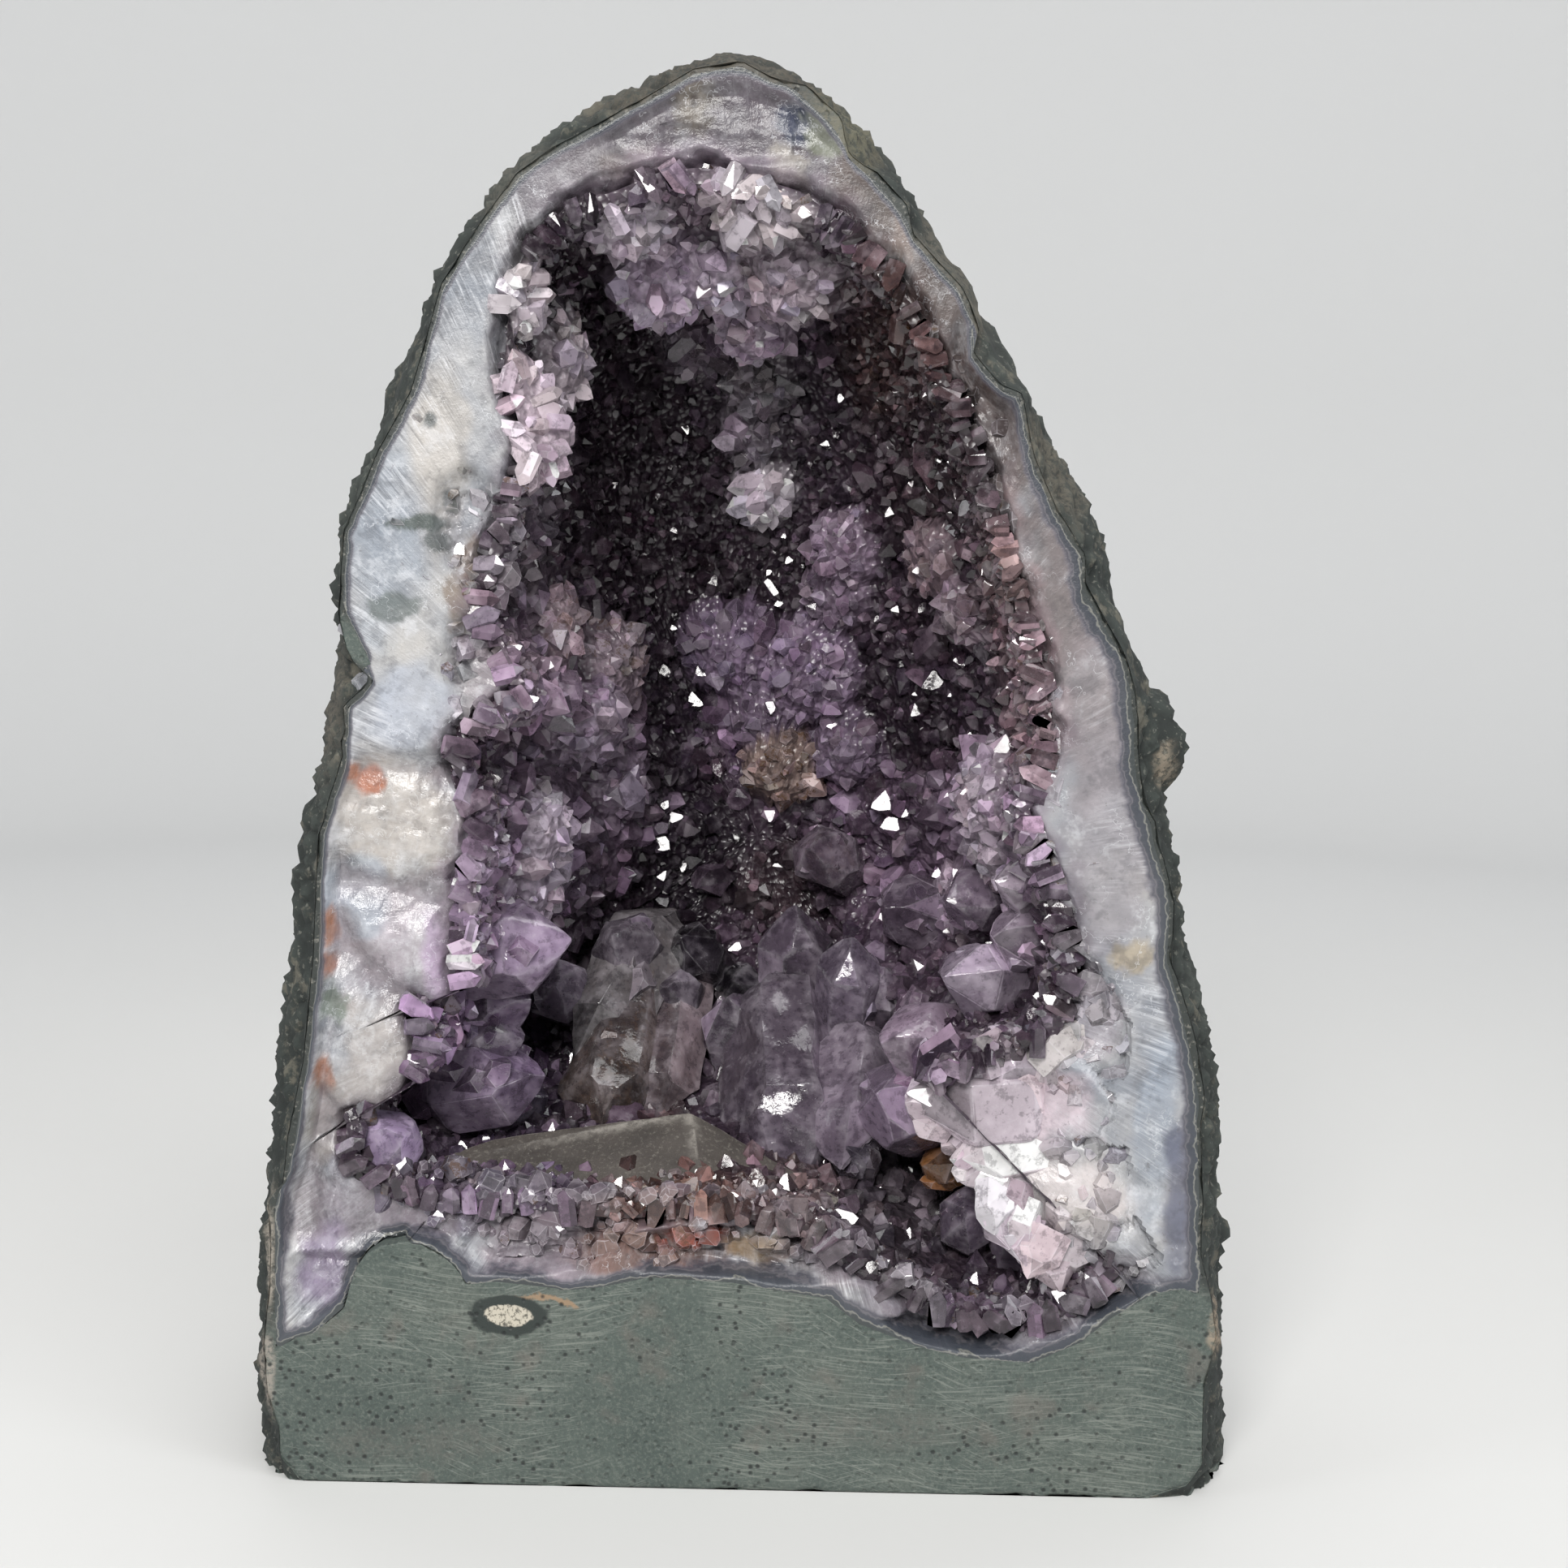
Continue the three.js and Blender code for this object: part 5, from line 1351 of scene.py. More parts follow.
def crystals(name, sites, material, random, shapes, contrast, root_tint=0.0, highlight_border=0.0):
    """One mesh of crystals. sites holds tip, axis, radius, length, colour and speck for each.
    Facets differ in tone by contrast. The border width, in mm, gives each facet a light edge: a painted
    highlight where a bevel would catch the light."""
    count = len(sites["tip"])
    variant = random.integers(len(shapes), size=count)
    spin = sites.get("spin", random.uniform(0, math.pi, count))
    side, up = turned_axes(sites["axis"], spin)
    flatten = random.uniform(0.8, 1.0, count)
    front = FACE_Y + random.uniform(0.05, 1.6, count)
    points, faces, tints, specks, edges = [], {}, [], [], []
    base = 0
    for kind, (corners, polygons) in enumerate(shapes):
        chosen = np.flatnonzero(variant == kind)
        radius, length = sites["radius"][chosen][:, None], sites["length"][chosen][:, None]
        local = corners[None] * radius[..., None]
        local[:, corners[:, 2] < ROOT + 0.01, 2] = -length
        local[..., 0] *= flatten[chosen][:, None]
        world = sites["tip"][chosen][:, None] + sum(
            local[..., k:k + 1] * direction[chosen][:, None]
            for k, direction in enumerate((side, up, sites["axis"])))
        world[..., 1] = np.maximum(world[..., 1], front[chosen][:, None])
        height = np.clip(1 + local[..., 2] / length, 0, 1)[..., None]
        tint = sites["colour"][chosen][:, None]
        pale = tint * np.array([1, 1, 1, 1 - 0.5 * root_tint]) + root_tint * np.array([0.3, 0.26, 0.3, 0])
        tint = pale + (tint - pale) * smooth(height, 0.2, 0.85)
        if "paint" in sites:
            tint = tint * sites["paint"](world)
        for polygon in polygons:
            size = len(polygon)
            shade = tint[:, polygon].copy()
            shade[..., :3] *= np.exp(contrast * random.standard_normal((len(chosen), 1, 1)))
            ring = world[:, polygon]
            layers = [ring] if not highlight_border else [ring, facet_rings(ring, highlight_border + 0 * radius[:, 0])]
            for number, layer in enumerate(layers):
                points.append(layer.reshape(-1, 3))
                tints.append(shade.reshape(-1, 4))
                specks.append(np.repeat(sites["speck"][chosen], size))
                # The outer ring is marked edge, and the material paints it paler as a highlight.
                edges.append(np.full(len(chosen) * size, float(bool(highlight_border) and number == 0)))
            first = base + np.arange(len(chosen))[:, None] * size + np.arange(size)
            inner = first + (len(layers) - 1) * len(chosen) * size
            faces.setdefault(size, []).append(inner)
            if highlight_border:
                beside = [np.roll(corner, -1, axis=1) for corner in (first, inner)]
                around = np.stack([first, *beside, inner], -1)
                faces.setdefault(4, []).append(around.reshape(-1, 4))
            base += len(layers) * len(chosen) * size
    faces = [np.concatenate(group) for group in faces.values()]
    marks = {"tint": np.clip(np.concatenate(tints), 0, 0.95), "speck": np.concatenate(specks),
             "edge": np.concatenate(edges)}
    return make_piece(name, np.concatenate(points), faces, material, marks, 0)


def spread_out(places, gaps):
    """The places that keep their gap from those taken before them."""
    taken = np.empty((len(places), 3))
    kept = []
    for n, (place, gap) in enumerate(zip(places, gaps)):
        near = taken[:len(kept)] - place
        if len(kept) and ((near * near).sum(axis=1) < gap * gap).any():
            continue
        taken[len(kept)] = place
        kept.append(n)
    return np.array(kept)


def varied(colour, random, light=0.2, hue=0.035):
    """Colours with a random lightness and a slight random hue for each crystal."""
    colour = colour.copy()
    colour[:, :3] *= np.exp(light * random.standard_normal((len(colour), 1)))
    colour[:, :3] *= 1 + hue * random.standard_normal((len(colour), 3))
    return np.clip(colour, 0.004, 1.2)


def jitter(axis, amount, random):
    """Directions turned at random by about amount, in radians."""
    return unit(axis + amount * random.standard_normal(axis.shape))


def glinting(place, axis, share, random):
    """Turns a share of the points so that one of their tip faces throws the window's light at the
    camera, as a few of them always do."""
    half = unit(unit(KEY_LIGHT - place) + unit(EYE - place))
    lean = math.pi / 2 - HALF_APEX
    across = unit(axis - half * (axis * half).sum(-1, keepdims=True))
    turned = unit(half * math.cos(lean) + across * math.sin(lean))
    close = (turned * axis).sum(-1) > 0.5
    chosen = (random.uniform(0, 1, len(place)) < share) & close
    new_axis = np.where(chosen[:, None], turned, axis)
    first, second = turned_axes(new_axis, np.zeros(len(place)))
    spin = np.arctan2((half * second).sum(-1), (half * first).sum(-1))
    return new_axis, np.where(chosen, spin, random.uniform(0, math.pi, len(place)))


# Places tried on the wall, the usual gap on the heads, and the largest radius there; points within
# MOUTH of the sawn front are small; and the shares of points that glint
WALL_TRIES = 90000
HEAD_GAP = 5.6
HEAD_LIMIT = 4
MOUTH = 12
MOUTH_LIMIT = 2.4
HEAD_GLINTS = 0.04
WALL_GLINTS = 0.075


def druse_pieces(random, materials):
    """The points of the wall, each region with its own size and colour, and those of the heads."""
    angle = random.uniform(-math.pi, math.pi, WALL_TRIES)
    share = random.uniform(0.0, 0.985, WALL_TRIES)
    size = reach_at(HOLLOW_REACH, angle) * np.cos(math.pi / 2 * share) ** wall_curve(angle)
    stretch = size * np.hypot(size, 60)
    keep = random.uniform(0, 1, WALL_TRIES) < stretch / stretch.max()
    wall, normal = wall_frames(angle[keep], share[keep])
    place, normal, which = lift_by_heads(wall, normal)
    mixed = region_mix(place)
    on_head = which >= 0
    spread = 0.3 * random.standard_normal(len(place)) + 0.25 * lump_noise(place / 11)
    radius = mixed[:, 4] * np.exp(spread)
    on_head_radius = 0.55 * HEAD_GAP * np.exp(0.28 * random.standard_normal(len(place)))
    radius = np.where(on_head, np.minimum(on_head_radius, HEAD_LIMIT), radius)
    radius = np.where(place[:, 1] < FACE_Y + MOUTH, np.minimum(radius, MOUTH_LIMIT), radius)
    kept = spread_out(place, 1.5 * radius)
    place, normal, which, mixed, radius, on_head = (
        part[kept] for part in (place, normal, which, mixed, radius, on_head))
    colour = mixed[:, :4].copy()
    speck = np.zeros(len(place))
    for number, (_, _, _, tint, clear, moss) in enumerate(HEADS):
        own = which == number
        colour[own] = 0.82 * np.array([*tint, clear]) + 0.18 * colour[own]
        speck[which == number] = moss
    axis = jitter(normal, np.where(on_head, 0.3, 0.38)[:, None], random)
    axis, spin = glinting(place, axis, np.where(on_head, HEAD_GLINTS, WALL_GLINTS), random)
    head_out = random.uniform(0.3, 1.25, len(radius))
    wall_out = random.uniform(0.5, 1.6, len(radius))
    out = radius * np.where(on_head, head_out, wall_out)
    light = np.where(on_head, 0.1, 0.4)[:, None]
    sites = {
        "tip": place + axis * out[:, None], "axis": axis, "radius": radius, "spin": spin, "speck": speck,
        "length": out + 2.2 * radius + 1.5, "colour": varied(colour, random, light),
    }
    groups = {
        "small_points": ~on_head & (radius < 2.9),
        "middle_points": ~on_head & (radius >= 2.9),
        "head_points": on_head,
    }
    shapes = [quartz_shape(random) for _ in range(VARIANTS)]
    looks = {
        "small_points": {"contrast": 0.4, "root_tint": 0.05},
        "middle_points": {"contrast": 0.42, "root_tint": 0.08},
        "head_points": {"contrast": 0.3, "root_tint": 0.2, "highlight_border": 0.2},
    }
    for name, chosen in groups.items():
        part = {key: value[chosen] for key, value in sites.items()}
        piece = crystals(name, part, materials[name], random, shapes, **looks[name])
        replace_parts(piece, "amethyst_crust")


# Tries for the mouth's points, how far into the hollow they stand as a share of its wall, and their
# usual and largest radius
RIM_POINTS = 3200
RIM_POINTS_SHARE = 0.12
RIM_POINTS_RADIUS = 1.5
RIM_POINTS_LIMIT = 4.5


def rim_points(random, material):
    """Points along the hollow's mouth, cut by the saw, that lead over from the rim to the crust."""
    angle = random.uniform(-math.pi, math.pi, RIM_POINTS)
    share = random.uniform(0.0, RIM_POINTS_SHARE, RIM_POINTS)
    place, normal = wall_frames(angle, share)
    radius = RIM_POINTS_RADIUS * np.exp(0.55 * random.standard_normal(RIM_POINTS))
    radius = np.minimum(radius, RIM_POINTS_LIMIT)
    kept = spread_out(place, 1.3 * radius)
    place, normal, radius = place[kept], normal[kept], radius[kept]
    mixed = region_mix(place)[:, :4]
    rim = stained(on_face(place), STAINS, (0.36, 0.33, 0.36, 1.0))
    mixed[:, :3] = 0.5 * mixed[:, :3] + 0.42 * rim[:, :3]
    mixed[:, 3] = 0.45
    axis = jitter(normal + np.array([0, -0.9, 0]), 0.45, random)
    out = radius * random.uniform(0.1, 1.5, len(radius))
    tip = place + axis * out[:, None]
    tip[:, 1] = np.maximum(tip[:, 1], FACE_Y + random.uniform(0.5, 7, len(tip)))
    sites = {"tip": tip, "axis": axis, "radius": radius, "length": out + 2.5 * radius + 2,
             "colour": varied(mixed, random), "speck": (random.uniform(0, 1, len(tip)) < 0.2) * 0.8}
    shapes = [quartz_shape(random) for _ in range(VARIANTS)]
    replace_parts(crystals("rim_points", sites, material, random, shapes, 0.25), "amethyst_crust")


# Broken quartz: a name, its outline [x, z], how many tries, the smallest and largest radius, how far
# it stands behind the rim's surface at least and at most, and how clear it is
RUBBLE = [
    ("rubble_left", [
        [-108, 240], [-84, 300], [-62, 300], [-60, 250], [-76, 208], [-98, 214],
    ], 160, (2, 5), (0, 1.5), 0.3),
    ("rubble_right", [
        [88, 60], [84, 128], [84, 160], [76, 200], [88, 214], [96, 170], [104, 130], [104, 62],
    ], 300, (2, 6), (0, 1.5), 0.3),
    ("rubble_upper_right", [
        [78, 210], [60, 284], [38, 330], [50, 322], [70, 284], [90, 222],
    ], 200, (2, 4.5), (0, 2), 0.3),
    ("floor_band", [
        [-108, 92], [-60, 84], [-20, 84], [24, 74], [60, 52], [98, 58], [112, 66], [104, 58], [84, 46],
        [56, 48], [30, 62], [0, 70], [-24, 62], [-50, 62], [-72, 70], [-98, 78],
    ], 1100, (1.3, 4.2), (-3.4, 1), 0.25),
]


def rubble_paint(points):
    """The colours of the rim's stains and, inside the hollow, of the crust, for broken pieces."""
    colour = stained(on_face(points), STAINS, (0.33, 0.32, 0.35, 1.0))
    colour[..., 3] = 1
    crust = region_mix(points.reshape(-1, 3))[:, :3].reshape(points.shape)
    blend_in(colour, crust + 0.03, 0.8 * within(HOLLOW_LINE, points))
    return colour


def rubble(random, material):
    """Broken pieces of quartz grown together, cut flat where they reach the sawn face."""
    shapes = [chip_shape(random) for _ in range(VARIANTS)]
    for name, outline, tries, (smallest, largest), (near, far), clear in RUBBLE:
        line = np.array(outline, float)
        spot = random.uniform(line.min(axis=0), line.max(axis=0), (tries, 2))
        place = np.stack([spot[:, 0], 0 * spot[:, 0] + FACE_Y, spot[:, 1]], -1)
        place = place[within(line, place)]
        radius = smallest + (largest - smallest) * random.uniform(0, 1, len(place)) ** 2
        order = np.argsort(-radius)
        place, radius = place[order], radius[order]
        kept = spread_out(place, 0.85 * radius)
        place, radius = place[kept], radius[kept]
        depth = rim_depth(place)[0]
        hollow = np.clip(1 - distance_to(HOLLOW_LINE, place) / 10, 0, 1) * within(HOLLOW_LINE, place)
        behind = near + (far - near) * random.uniform(0, 1, len(place)) ** 1.5
        colour = np.ones((len(place), 4))
        colour[:, 3] = clear
        place[:, 1] += np.minimum(depth, 8) * 0.8 + 0.8 * radius + behind + 6 * hollow
        sites = {"tip": place, "axis": unit(random.standard_normal(place.shape)), "radius": radius,
                 "length": radius, "colour": varied(colour, random, 0.1, 0.02), "paint": rubble_paint,
                 "speck": (random.uniform(0, 1, len(radius)) < 0.12) * 0.7}
        piece = crystals(name, sites, material, random, shapes, 0.13, 0, 0.28)
        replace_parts(piece, "amethyst_crust")


def refined_hull(corners, bevel, longest):
    """The hull of some corners with softened edges and no side longer than longest:
    its points, normals and triangles, the facet each point lies on, and how near an edge it is."""
    shape = bmesh.new()
    for corner in corners:
        shape.verts.new(corner)
    bmesh.ops.convex_hull(shape, input=shape.verts)
    bmesh.ops.delete(shape, geom=[vert for vert in shape.verts if not vert.link_faces], context="VERTS")
    bmesh.ops.dissolve_limit(shape, angle_limit=0.03, verts=shape.verts, edges=shape.edges)
    shape.normal_update()
    planes = np.array([[*face.normal, face.normal.dot(face.verts[0].co)] for face in shape.faces])
    bmesh.ops.bevel(shape, geom=shape.edges[:], offset=bevel, segments=2, profile=0.6,
                    affect="EDGES", clamp_overlap=True)
    bmesh.ops.triangulate(shape, faces=shape.faces)
    for _ in range(7):
        long_edges = [edge for edge in shape.edges if edge.calc_length() > longest]
        if not long_edges:
            break
        bmesh.ops.subdivide_edges(shape, edges=long_edges, cuts=1)
        bmesh.ops.triangulate(shape, faces=shape.faces)
    shape.normal_update()
    shape.verts.index_update()
    points = np.array([vert.co for vert in shape.verts])
    normals = np.array([vert.normal for vert in shape.verts])
    faces = np.array([[vert.index for vert in face.verts] for face in shape.faces])
    shape.free()
    beneath = planes[:, 3] - points @ planes[:, :3].T
    nearest = np.sort(beneath, axis=1)
    edge = 1 - smooth(nearest[:, 1], 0.3 * bevel, 0.75 * bevel)
    return points, normals, faces, beneath.argmin(axis=1), edge


def great_points(random, materials):
    """The large single points low in the hollow, from root to tip."""
    for name, root, tip, radius, bevel, tint, clear, moss in GREAT_POINTS:
        root, tip = np.array(root, float), np.array(tip, float)
        axis = unit(tip - root)[None]
        side, up = turned_axes(axis, np.array([random.uniform(0, math.pi)]))
        local = double_point(random, radius, np.linalg.norm(tip - root))
        world = tip + sum(local[:, k:k + 1] * direction for k, direction in enumerate((side, up, axis)))
        points, normals, faces, facet, edge = refined_hull(world, bevel, 2.6)
        step, _ = facets(np.stack([points @ side[0], 0 * facet, points @ up[0]], -1), 5, radius)
        grain = 0.35 * rough_noise(points / 7) + 0.06 * rough_noise(points / 1.5)
        grain = grain + 0.5 * bevel * lump_noise(points / 9)
        points = points + normals * (grain + 0.25 * step * (1 - edge))[:, None]
        height = smooth(((points - root) @ axis[0]) / np.linalg.norm(tip - root), 0.35, 0.95)[:, None]
        cloud = 0.5 + 0.5 * rough_noise(points / 9 + radius)[:, None]
        pale = np.array(tint) * 0.8 + (0.09 if bevel < 1.2 else 0.05) * np.array([1, 0.88, 1])
        colour = pale + (np.array(tint) - pale) * height
        tone = np.exp((0.34 if bevel < 1.2 else 0.3) * random.standard_normal(facet.max() + 1))
        colour = colour * (0.75 + 0.5 * cloud) * tone[facet][:, None]
        clearness = clear * (0.7 + 0.3 * height)
        # The edge mark paints a highlight along the softened edges: at half strength on the sharp points,
        # and at a quarter on the cloudy ones.
        marks = {"tint": np.clip(np.concatenate([colour, clearness], -1), 0, 0.95),
                 "speck": np.full(len(points), moss), "edge": edge * (0.5 if bevel < 1.2 else 0.25)}
        material = materials["cloudy" if bevel > 1.2 else "great"]
        piece = make_piece("great_" + name, points, [faces], material, marks, 28)
        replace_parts(piece, "amethyst_crust")


# The line [x, z] of the right chunk's edge, and how many pale points stand along it
CHUNK_EDGE = [
    [92, 128], [74, 124], [58, 119], [48, 109], [50, 100], [58, 94], [62, 88], [70, 77], [80, 64],
    [90, 58],
]
CHUNK_EDGE_POINTS = 92


def chunk_edge_points(random, material, shapes):
    """Pale points that reach from the right chunk's broken edge into the hollow."""
    line = np.array(CHUNK_EDGE, float)
    length = np.concatenate([[0], np.cumsum(np.linalg.norm(np.diff(line, axis=0), axis=-1))])
    along = random.uniform(0, length[-1], CHUNK_EDGE_POINTS)
    x, z = (np.interp(along, length, line[:, k]) for k in (0, 1))
    size = random.uniform(2.2, 6.5, CHUNK_EDGE_POINTS)
    middle = np.array([84.0, 94.0])
    out = np.stack([x - middle[0], 0 * x, z - middle[1]], -1)
    place = np.stack([x, 0 * x + FACE_Y, z], -1)
    place += unit(out) * random.uniform(-4, 4, (CHUNK_EDGE_POINTS, 1))
    place[:, 1] += np.maximum(rim_depth(place)[0], 1) + random.uniform(-3, 2, CHUNK_EDGE_POINTS)
    axis = jitter(unit(unit(out) + np.array([0, -0.75, 0])), 0.25, random)
    colour = np.repeat([[0.6, 0.52, 0.57, 0.35]], CHUNK_EDGE_POINTS, axis=0)
    sites = {"tip": place, "axis": axis, "radius": size, "length": 2.6 * size,
             "colour": varied(colour, random, 0.16), "speck": np.zeros(CHUNK_EDGE_POINTS)}
    piece = crystals("chunk_edge_points", sites, material, random, shapes, 0.16, 0.2, 0.35)
    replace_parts(piece, "amethyst_crust")


# How many smaller points grow out of each large one
SATELLITES = 7


def satellite_points(random, material, shapes):
    """Smaller points that grow out of the large ones' sides."""
    parts = []
    for _, root, tip, radius, bevel, tint, clear, moss in GREAT_POINTS:
        count = SATELLITES if bevel < 1.1 else SATELLITES // 2
        root, tip = np.array(root, float), np.array(tip, float)
        axis = np.repeat(unit(tip - root)[None], count, axis=0)
        out, _ = turned_axes(axis, random.uniform(0, 2 * math.pi, count))
        size = radius * random.uniform(0.25, 0.62, count)
        back = np.linalg.norm(tip - root) * random.uniform(0.12, 0.5, count)
        place = tip - axis * back[:, None] + out * (0.98 * radius - 0.3 * size)[:, None]
        lean = jitter(axis + 0.45 * out, 0.14, random)
        tone = np.repeat(np.array([[*tint, clear]]), count, axis=0) * (1.1, 1.05, 1.08, 1)
        part = (place, lean, size, 3.2 * size, varied(tone, random, 0.16), np.full(count, moss))
        free = within(HOLLOW_LINE, place) & (distance_to(HOLLOW_LINE, place) > 0.8 * size)
        parts.append([values[free] for values in part])
    keys = ("tip", "axis", "radius", "length", "colour", "speck")
    sites = {key: np.concatenate([part[number] for part in parts]) for number, key in enumerate(keys)}
    piece = crystals("satellite_points", sites, material, random, shapes, 0.26, 0.1, 0.3)
    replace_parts(piece, "amethyst_crust")


def floor_blade():
    """The flat grey-brown crystal that lies across the hollow's floor. Its upward-facing facets are
    painted lighter and its side facets darker, as painted light from above.
    """
    points, normals, faces, facet, edge = refined_hull(FLOOR_BLADE, 0.4, 3.6)
    grain = 0.3 * rough_noise(points / 7) + 0.12 * rough_noise(points / 1.3)
    points = points + normals * grain[:, None]
    # Painted light and shade: each facet's colour is scaled by how far it faces up, from 0.3 on facets
    # that face sideways or down to 2 on those that face straight up.
    top = np.array([normals[(facet == number) & (edge < 0.1)].mean(axis=0)[2]
                    for number in range(facet.max() + 1)])
    tone = 0.3 + 1.7 * np.clip(np.nan_to_num(top), 0, 1)
    colour = np.array(BLADE_TONE) * (1 + 0.8 * rough_noise(points / 10))[:, None] * tone[facet][:, None]
    # The edge mark carries the painted edge highlight to the material.
    marks = {"tint": np.clip(colour, 0, 0.95), "edge": edge}
    piece = make_piece("floor_blade", points, [faces], blade_material(), marks, 28)
    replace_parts(piece, "amethyst_crust")


def basalt_hump(material):
    """The front of the basalt hump, let into the quartz that lies behind it."""
    around = np.concatenate([HUMP_LINE, HUMP_LINE[:1]])
    lengths = np.concatenate([[0], np.cumsum(np.linalg.norm(np.diff(around, axis=0), axis=-1))])
    along = np.linspace(0, lengths[-1], HUMP_COLUMNS + 1)[:-1]
    line = np.stack([np.interp(along, lengths, around[:, k]) for k in (0, 1)], -1)
    middle = line.mean(axis=0)
    line = line + 0.5 * rough_noise(np.stack([line[:, 0], 0 * line[:, 0], line[:, 1]], -1) / 3)[:, None]
    profile = [(1.0, HUMP_THICKNESS), (1.0, 0.5), (0.993, 0.12), (0.98, -0.02)]
    profile += [(scale, -0.02) for scale in (0.85, 0.65, 0.4, 0.15)]
    flat = np.array([middle + (line - middle) * scale for scale, _ in profile])
    back = np.array([y for _, y in profile])[:, None] + 0 * flat[..., 0]
    grid = np.stack([flat[..., 0], FACE_Y + back, flat[..., 1]], -1)
    ends = [[middle[0], FACE_Y + HUMP_THICKNESS, middle[1]], [middle[0], FACE_Y - 0.02, middle[1]]]
    full = lambda value: np.full(grid.shape[:2], float(value))
    marks = {"sawn": full(1), "knob": full(0), "rind": full(0), "tint": stained(grid, BASALT_STAINS)}
    piece = tube_piece("basalt_hump", grid, ends, material, marks, 30)
    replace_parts(piece, "basalt_matrix")


SKIN_COLUMNS = 260
SKIN_ROWS = 62


def skin_piece():
    """The crystals' grown-together feet, as a closed bowl."""
    around = lambda angle: polar(reach_at(HOLLOW_REACH, angle), angle, FACE_Y)
    angle = even_steps(around, SKIN_COLUMNS + 1, -math.pi, math.pi)[:-1]
    share = np.linspace(0.004, 0.985, SKIN_ROWS)[:, None]
    place, normal = wall_frames(angle[None], share + 0 * angle[None])
    place, normal, which = lift_by_heads(place, normal)
    place = place + normal * (1.3 * (knob_noise(place / 3.2) - 0.6))[..., None]
    behind = wall_points(angle[None], np.linspace(0.985, 0.004, 10)[:, None], 0.3)
    grid = np.concatenate([behind, place])
    grid[..., 1] = np.maximum(grid[..., 1], FACE_Y + 2.8)
    colour = region_mix(grid.reshape(-1, 3))[:, :3] * 0.5
    which = np.concatenate([np.full(behind.shape[:2], -1), which]).ravel()
    for number, (_, _, _, tint, _, _) in enumerate(HEADS):
        colour[which == number] = np.array(tint) * 0.7
    colour = colour.reshape(*grid.shape)
    back = wall_points(np.array([0.0]), 1.0, 0.3)[0]
    front = wall_points(np.array([0.0]), 1.0)[0]
    ends, marks = [back, front], {"tint": colour}
    piece = tube_piece("crust_skin", grid, ends, skin_material(), marks, 0)
    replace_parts(piece, "amethyst_crust")


def crust_pieces():
    """Everything that stands for the crust of crystals."""
    random = np.random.default_rng(SEED)
    materials = {
        "small_points": crystal_material("small_crystal", None, 0, 0.03, False, 0),
        "middle_points": crystal_material("middle_crystal", None, 0, 0.04, False, 0),
        "head_points": crystal_material("head_crystal", None, 0, 0.06, True, 0),
        "rubble": crystal_material("broken_quartz", None, 0, 0.1, True, 0),
        "great": crystal_material("great_crystal", (0.66, 0.52, 0.74), 22, 0.05, True, 1.4),
        "cloudy": crystal_material("cloudy_crystal", (0.7, 0.6, 0.7), 22, 0.1, True, 1.6),
    }
    skin_piece()
    druse_pieces(random, materials)
    rim_points(random, materials["head_points"])
    rubble(random, materials["rubble"])
    great_points(random, materials)
    shapes = [quartz_shape(random) for _ in range(VARIANTS)]
    satellite_points(random, materials["great"], shapes)
    chunk_edge_points(random, materials["head_points"], shapes)
    floor_blade()


def stage():
    """A pale floor that turns up into a round backdrop: pale behind the geode, and darker in front
    of it, where only its reflections see it."""
    n = Nodes("studio")
    axes = n.add("ShaderNodeSeparateXYZ", {0: n.where}).outputs
    away = n.add("ShaderNodeVectorMath", {0: n.where}, operation="LENGTH").outputs["Value"]
    tone = n.math("MULTIPLY", n.noise(600, 2), 0.03)
    pale = n.mix(n.step(away, 0.35, 1.2), (0.7, 0.7, 0.69), (0.74, 0.745, 0.745))
    dark = n.product(n.step(away, 0.55, 1.2), n.step(axes[1], -0.1, -0.7))
    colour = n.mix(dark, pale, (0.16, 0.16, 0.16))
    n.principled({"Base Color": n.mix(tone, colour, (0.5, 0.5, 0.5)), "Roughness": 0.6})
    flat, bend, tall, columns = 1.3, 0.5, 2.2, 96
    profile = [(0.02, 0), (flat * 0.5, 0), (flat, 0)]
    for turn in np.linspace(0.15, math.pi / 2, 12):
        profile.append((flat + bend * math.sin(turn), bend - bend * math.cos(turn)))
    profile.append((flat + bend, tall))
    points, faces = [], []
    for radius, z in profile:
        for column in range(columns):
            turn = 2 * math.pi * column / columns
            points.append((radius * math.cos(turn), radius * math.sin(turn), z))
    for row in range(len(profile) - 1):
        for column in range(columns):
            right = (column + 1) % columns
            faces.append((row * columns + column, row * columns + right,
                          (row + 1) * columns + right, (row + 1) * columns + column))
    faces.append(tuple(range(columns))[::-1])
    mesh = bpy.data.meshes.new("studio_floor")
    mesh.from_pydata(points, [], faces)
    mesh.polygons.foreach_set("use_smooth", [True] * len(faces))
    mesh.materials.append(n.material)
    floor = bpy.data.objects.new("studio_floor", mesh)
    bpy.context.collection.objects.link(floor)


def area_light(name, place, aim, size, radiance, colour=(1, 1, 1)):
    """A rectangular light whose face has a given brightness. Places are in metres."""
    data = bpy.data.lights.new(name, "AREA")
    data.shape = "RECTANGLE"
    data.size, data.size_y = size
    data.energy = radiance * math.pi * size[0] * size[1]
    data.color = colour
    light = bpy.data.objects.new(name, data)
    light.visible_camera = False
    light.rotation_mode = "QUATERNION"
    light.rotation_quaternion = Vector(np.array(aim) - place).to_track_quat("-Z", "Y")
    light.location = place
    bpy.context.collection.objects.link(light)


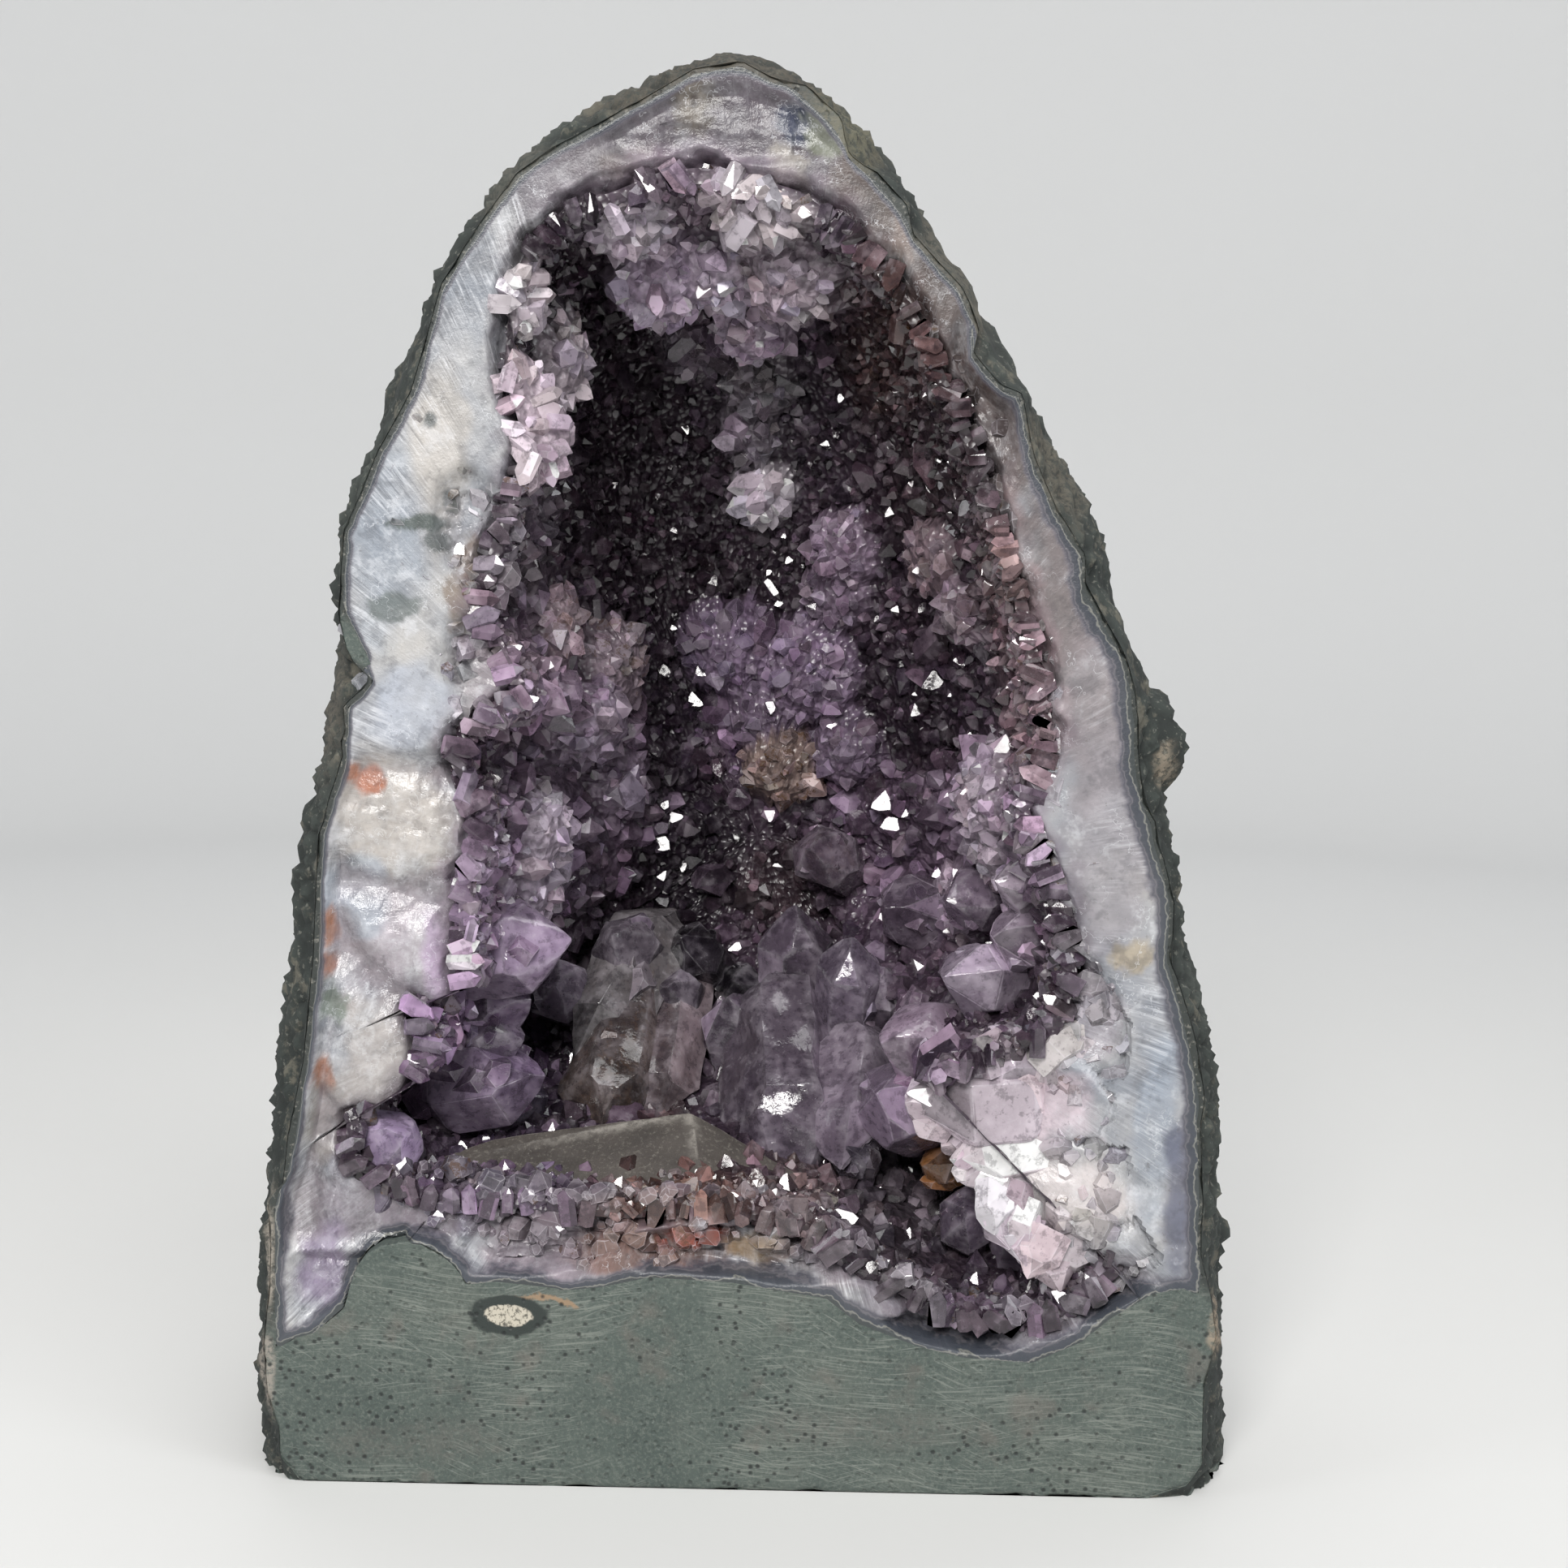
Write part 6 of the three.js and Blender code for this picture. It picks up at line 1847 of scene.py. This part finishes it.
def lights():
    """A window in front, a soft panel above, weak windows at the sides, and a dim room."""
    middle = (0, 0, 0.19)
    key = KEY_LIGHT * MM
    for side in (-0.5, 0.5):
        pane = key + np.array([0.31 * side, -0.08 * side, 0])
        area_light("window_pane", pane, middle, (0.28, 0.4), 26, (1, 0.985, 0.96))
    area_light("ceiling_panel", (0.35, -0.9, 1.7), middle, (1.4, 0.8), 4)
    area_light("right_window", (1.25, -0.7, 0.6), middle, (0.45, 0.8), 4.5, (0.95, 0.98, 1))
    area_light("left_window", (-1.3, -0.55, 0.5), middle, (0.45, 0.8), 3.5, (0.95, 0.98, 1))
    area_light("back_panel", (0, 0.6, 1.9), (0, 0.9, 0.3), (1.6, 0.8), 2.2)
    world = bpy.data.worlds.new("room")
    world.use_nodes = True
    world.node_tree.nodes["Background"].inputs["Color"].default_value = (0.93, 0.95, 1, 1)
    world.node_tree.nodes["Background"].inputs["Strength"].default_value = 0.15
    bpy.context.scene.world = world


def camera():
    """The photograph's camera, slightly from the right and above, with its lens matched to the
    photograph's square picture.
    """
    yaw, pitch, roll = (math.radians(turn) for turn in (YAW, PITCH, ROLL))
    place = np.array([EYE_ASIDE + EYE_REACH * math.sin(yaw), FACE_Y - EYE_REACH * math.cos(yaw), EYE[2]])
    heading = yaw + math.atan(PHOTO_SHIFT / PHOTO_FOCAL)
    forward = np.array([-math.sin(heading) * math.cos(pitch), math.cos(heading) * math.cos(pitch),
                        -math.sin(pitch)])
    right = unit(np.cross(forward, [0, 0, 1.0]))
    up = np.cross(right, forward)
    side = right * math.cos(roll) + up * math.sin(roll)
    top = up * math.cos(roll) - right * math.sin(roll)
    data = bpy.data.cameras.new("photo_camera")
    data.sensor_width = SENSOR
    data.lens = SENSOR * PHOTO_FOCAL / PHOTO_SIDE
    data.clip_start = 0.01
    eye = bpy.data.objects.new("photo_camera", data)
    turn = Matrix(np.stack([side, top, -forward], -1).tolist()).to_4x4()
    eye.matrix_world = Matrix.Translation((place * MM).tolist()) @ turn
    bpy.context.collection.objects.link(eye)
    bpy.context.scene.camera = eye


basalt = basalt_material()
basalt_piece(basalt)
basalt_hump(basalt)
quartz_piece()
crust_pieces()
stage()
lights()
camera()

scene = bpy.context.scene
scene.view_settings.view_transform = "Standard"
scene.cycles.use_denoising = True
scene.cycles.max_bounces = 5
scene.cycles.diffuse_bounces = 2
scene.cycles.glossy_bounces = 2
scene.cycles.transmission_bounces = 4
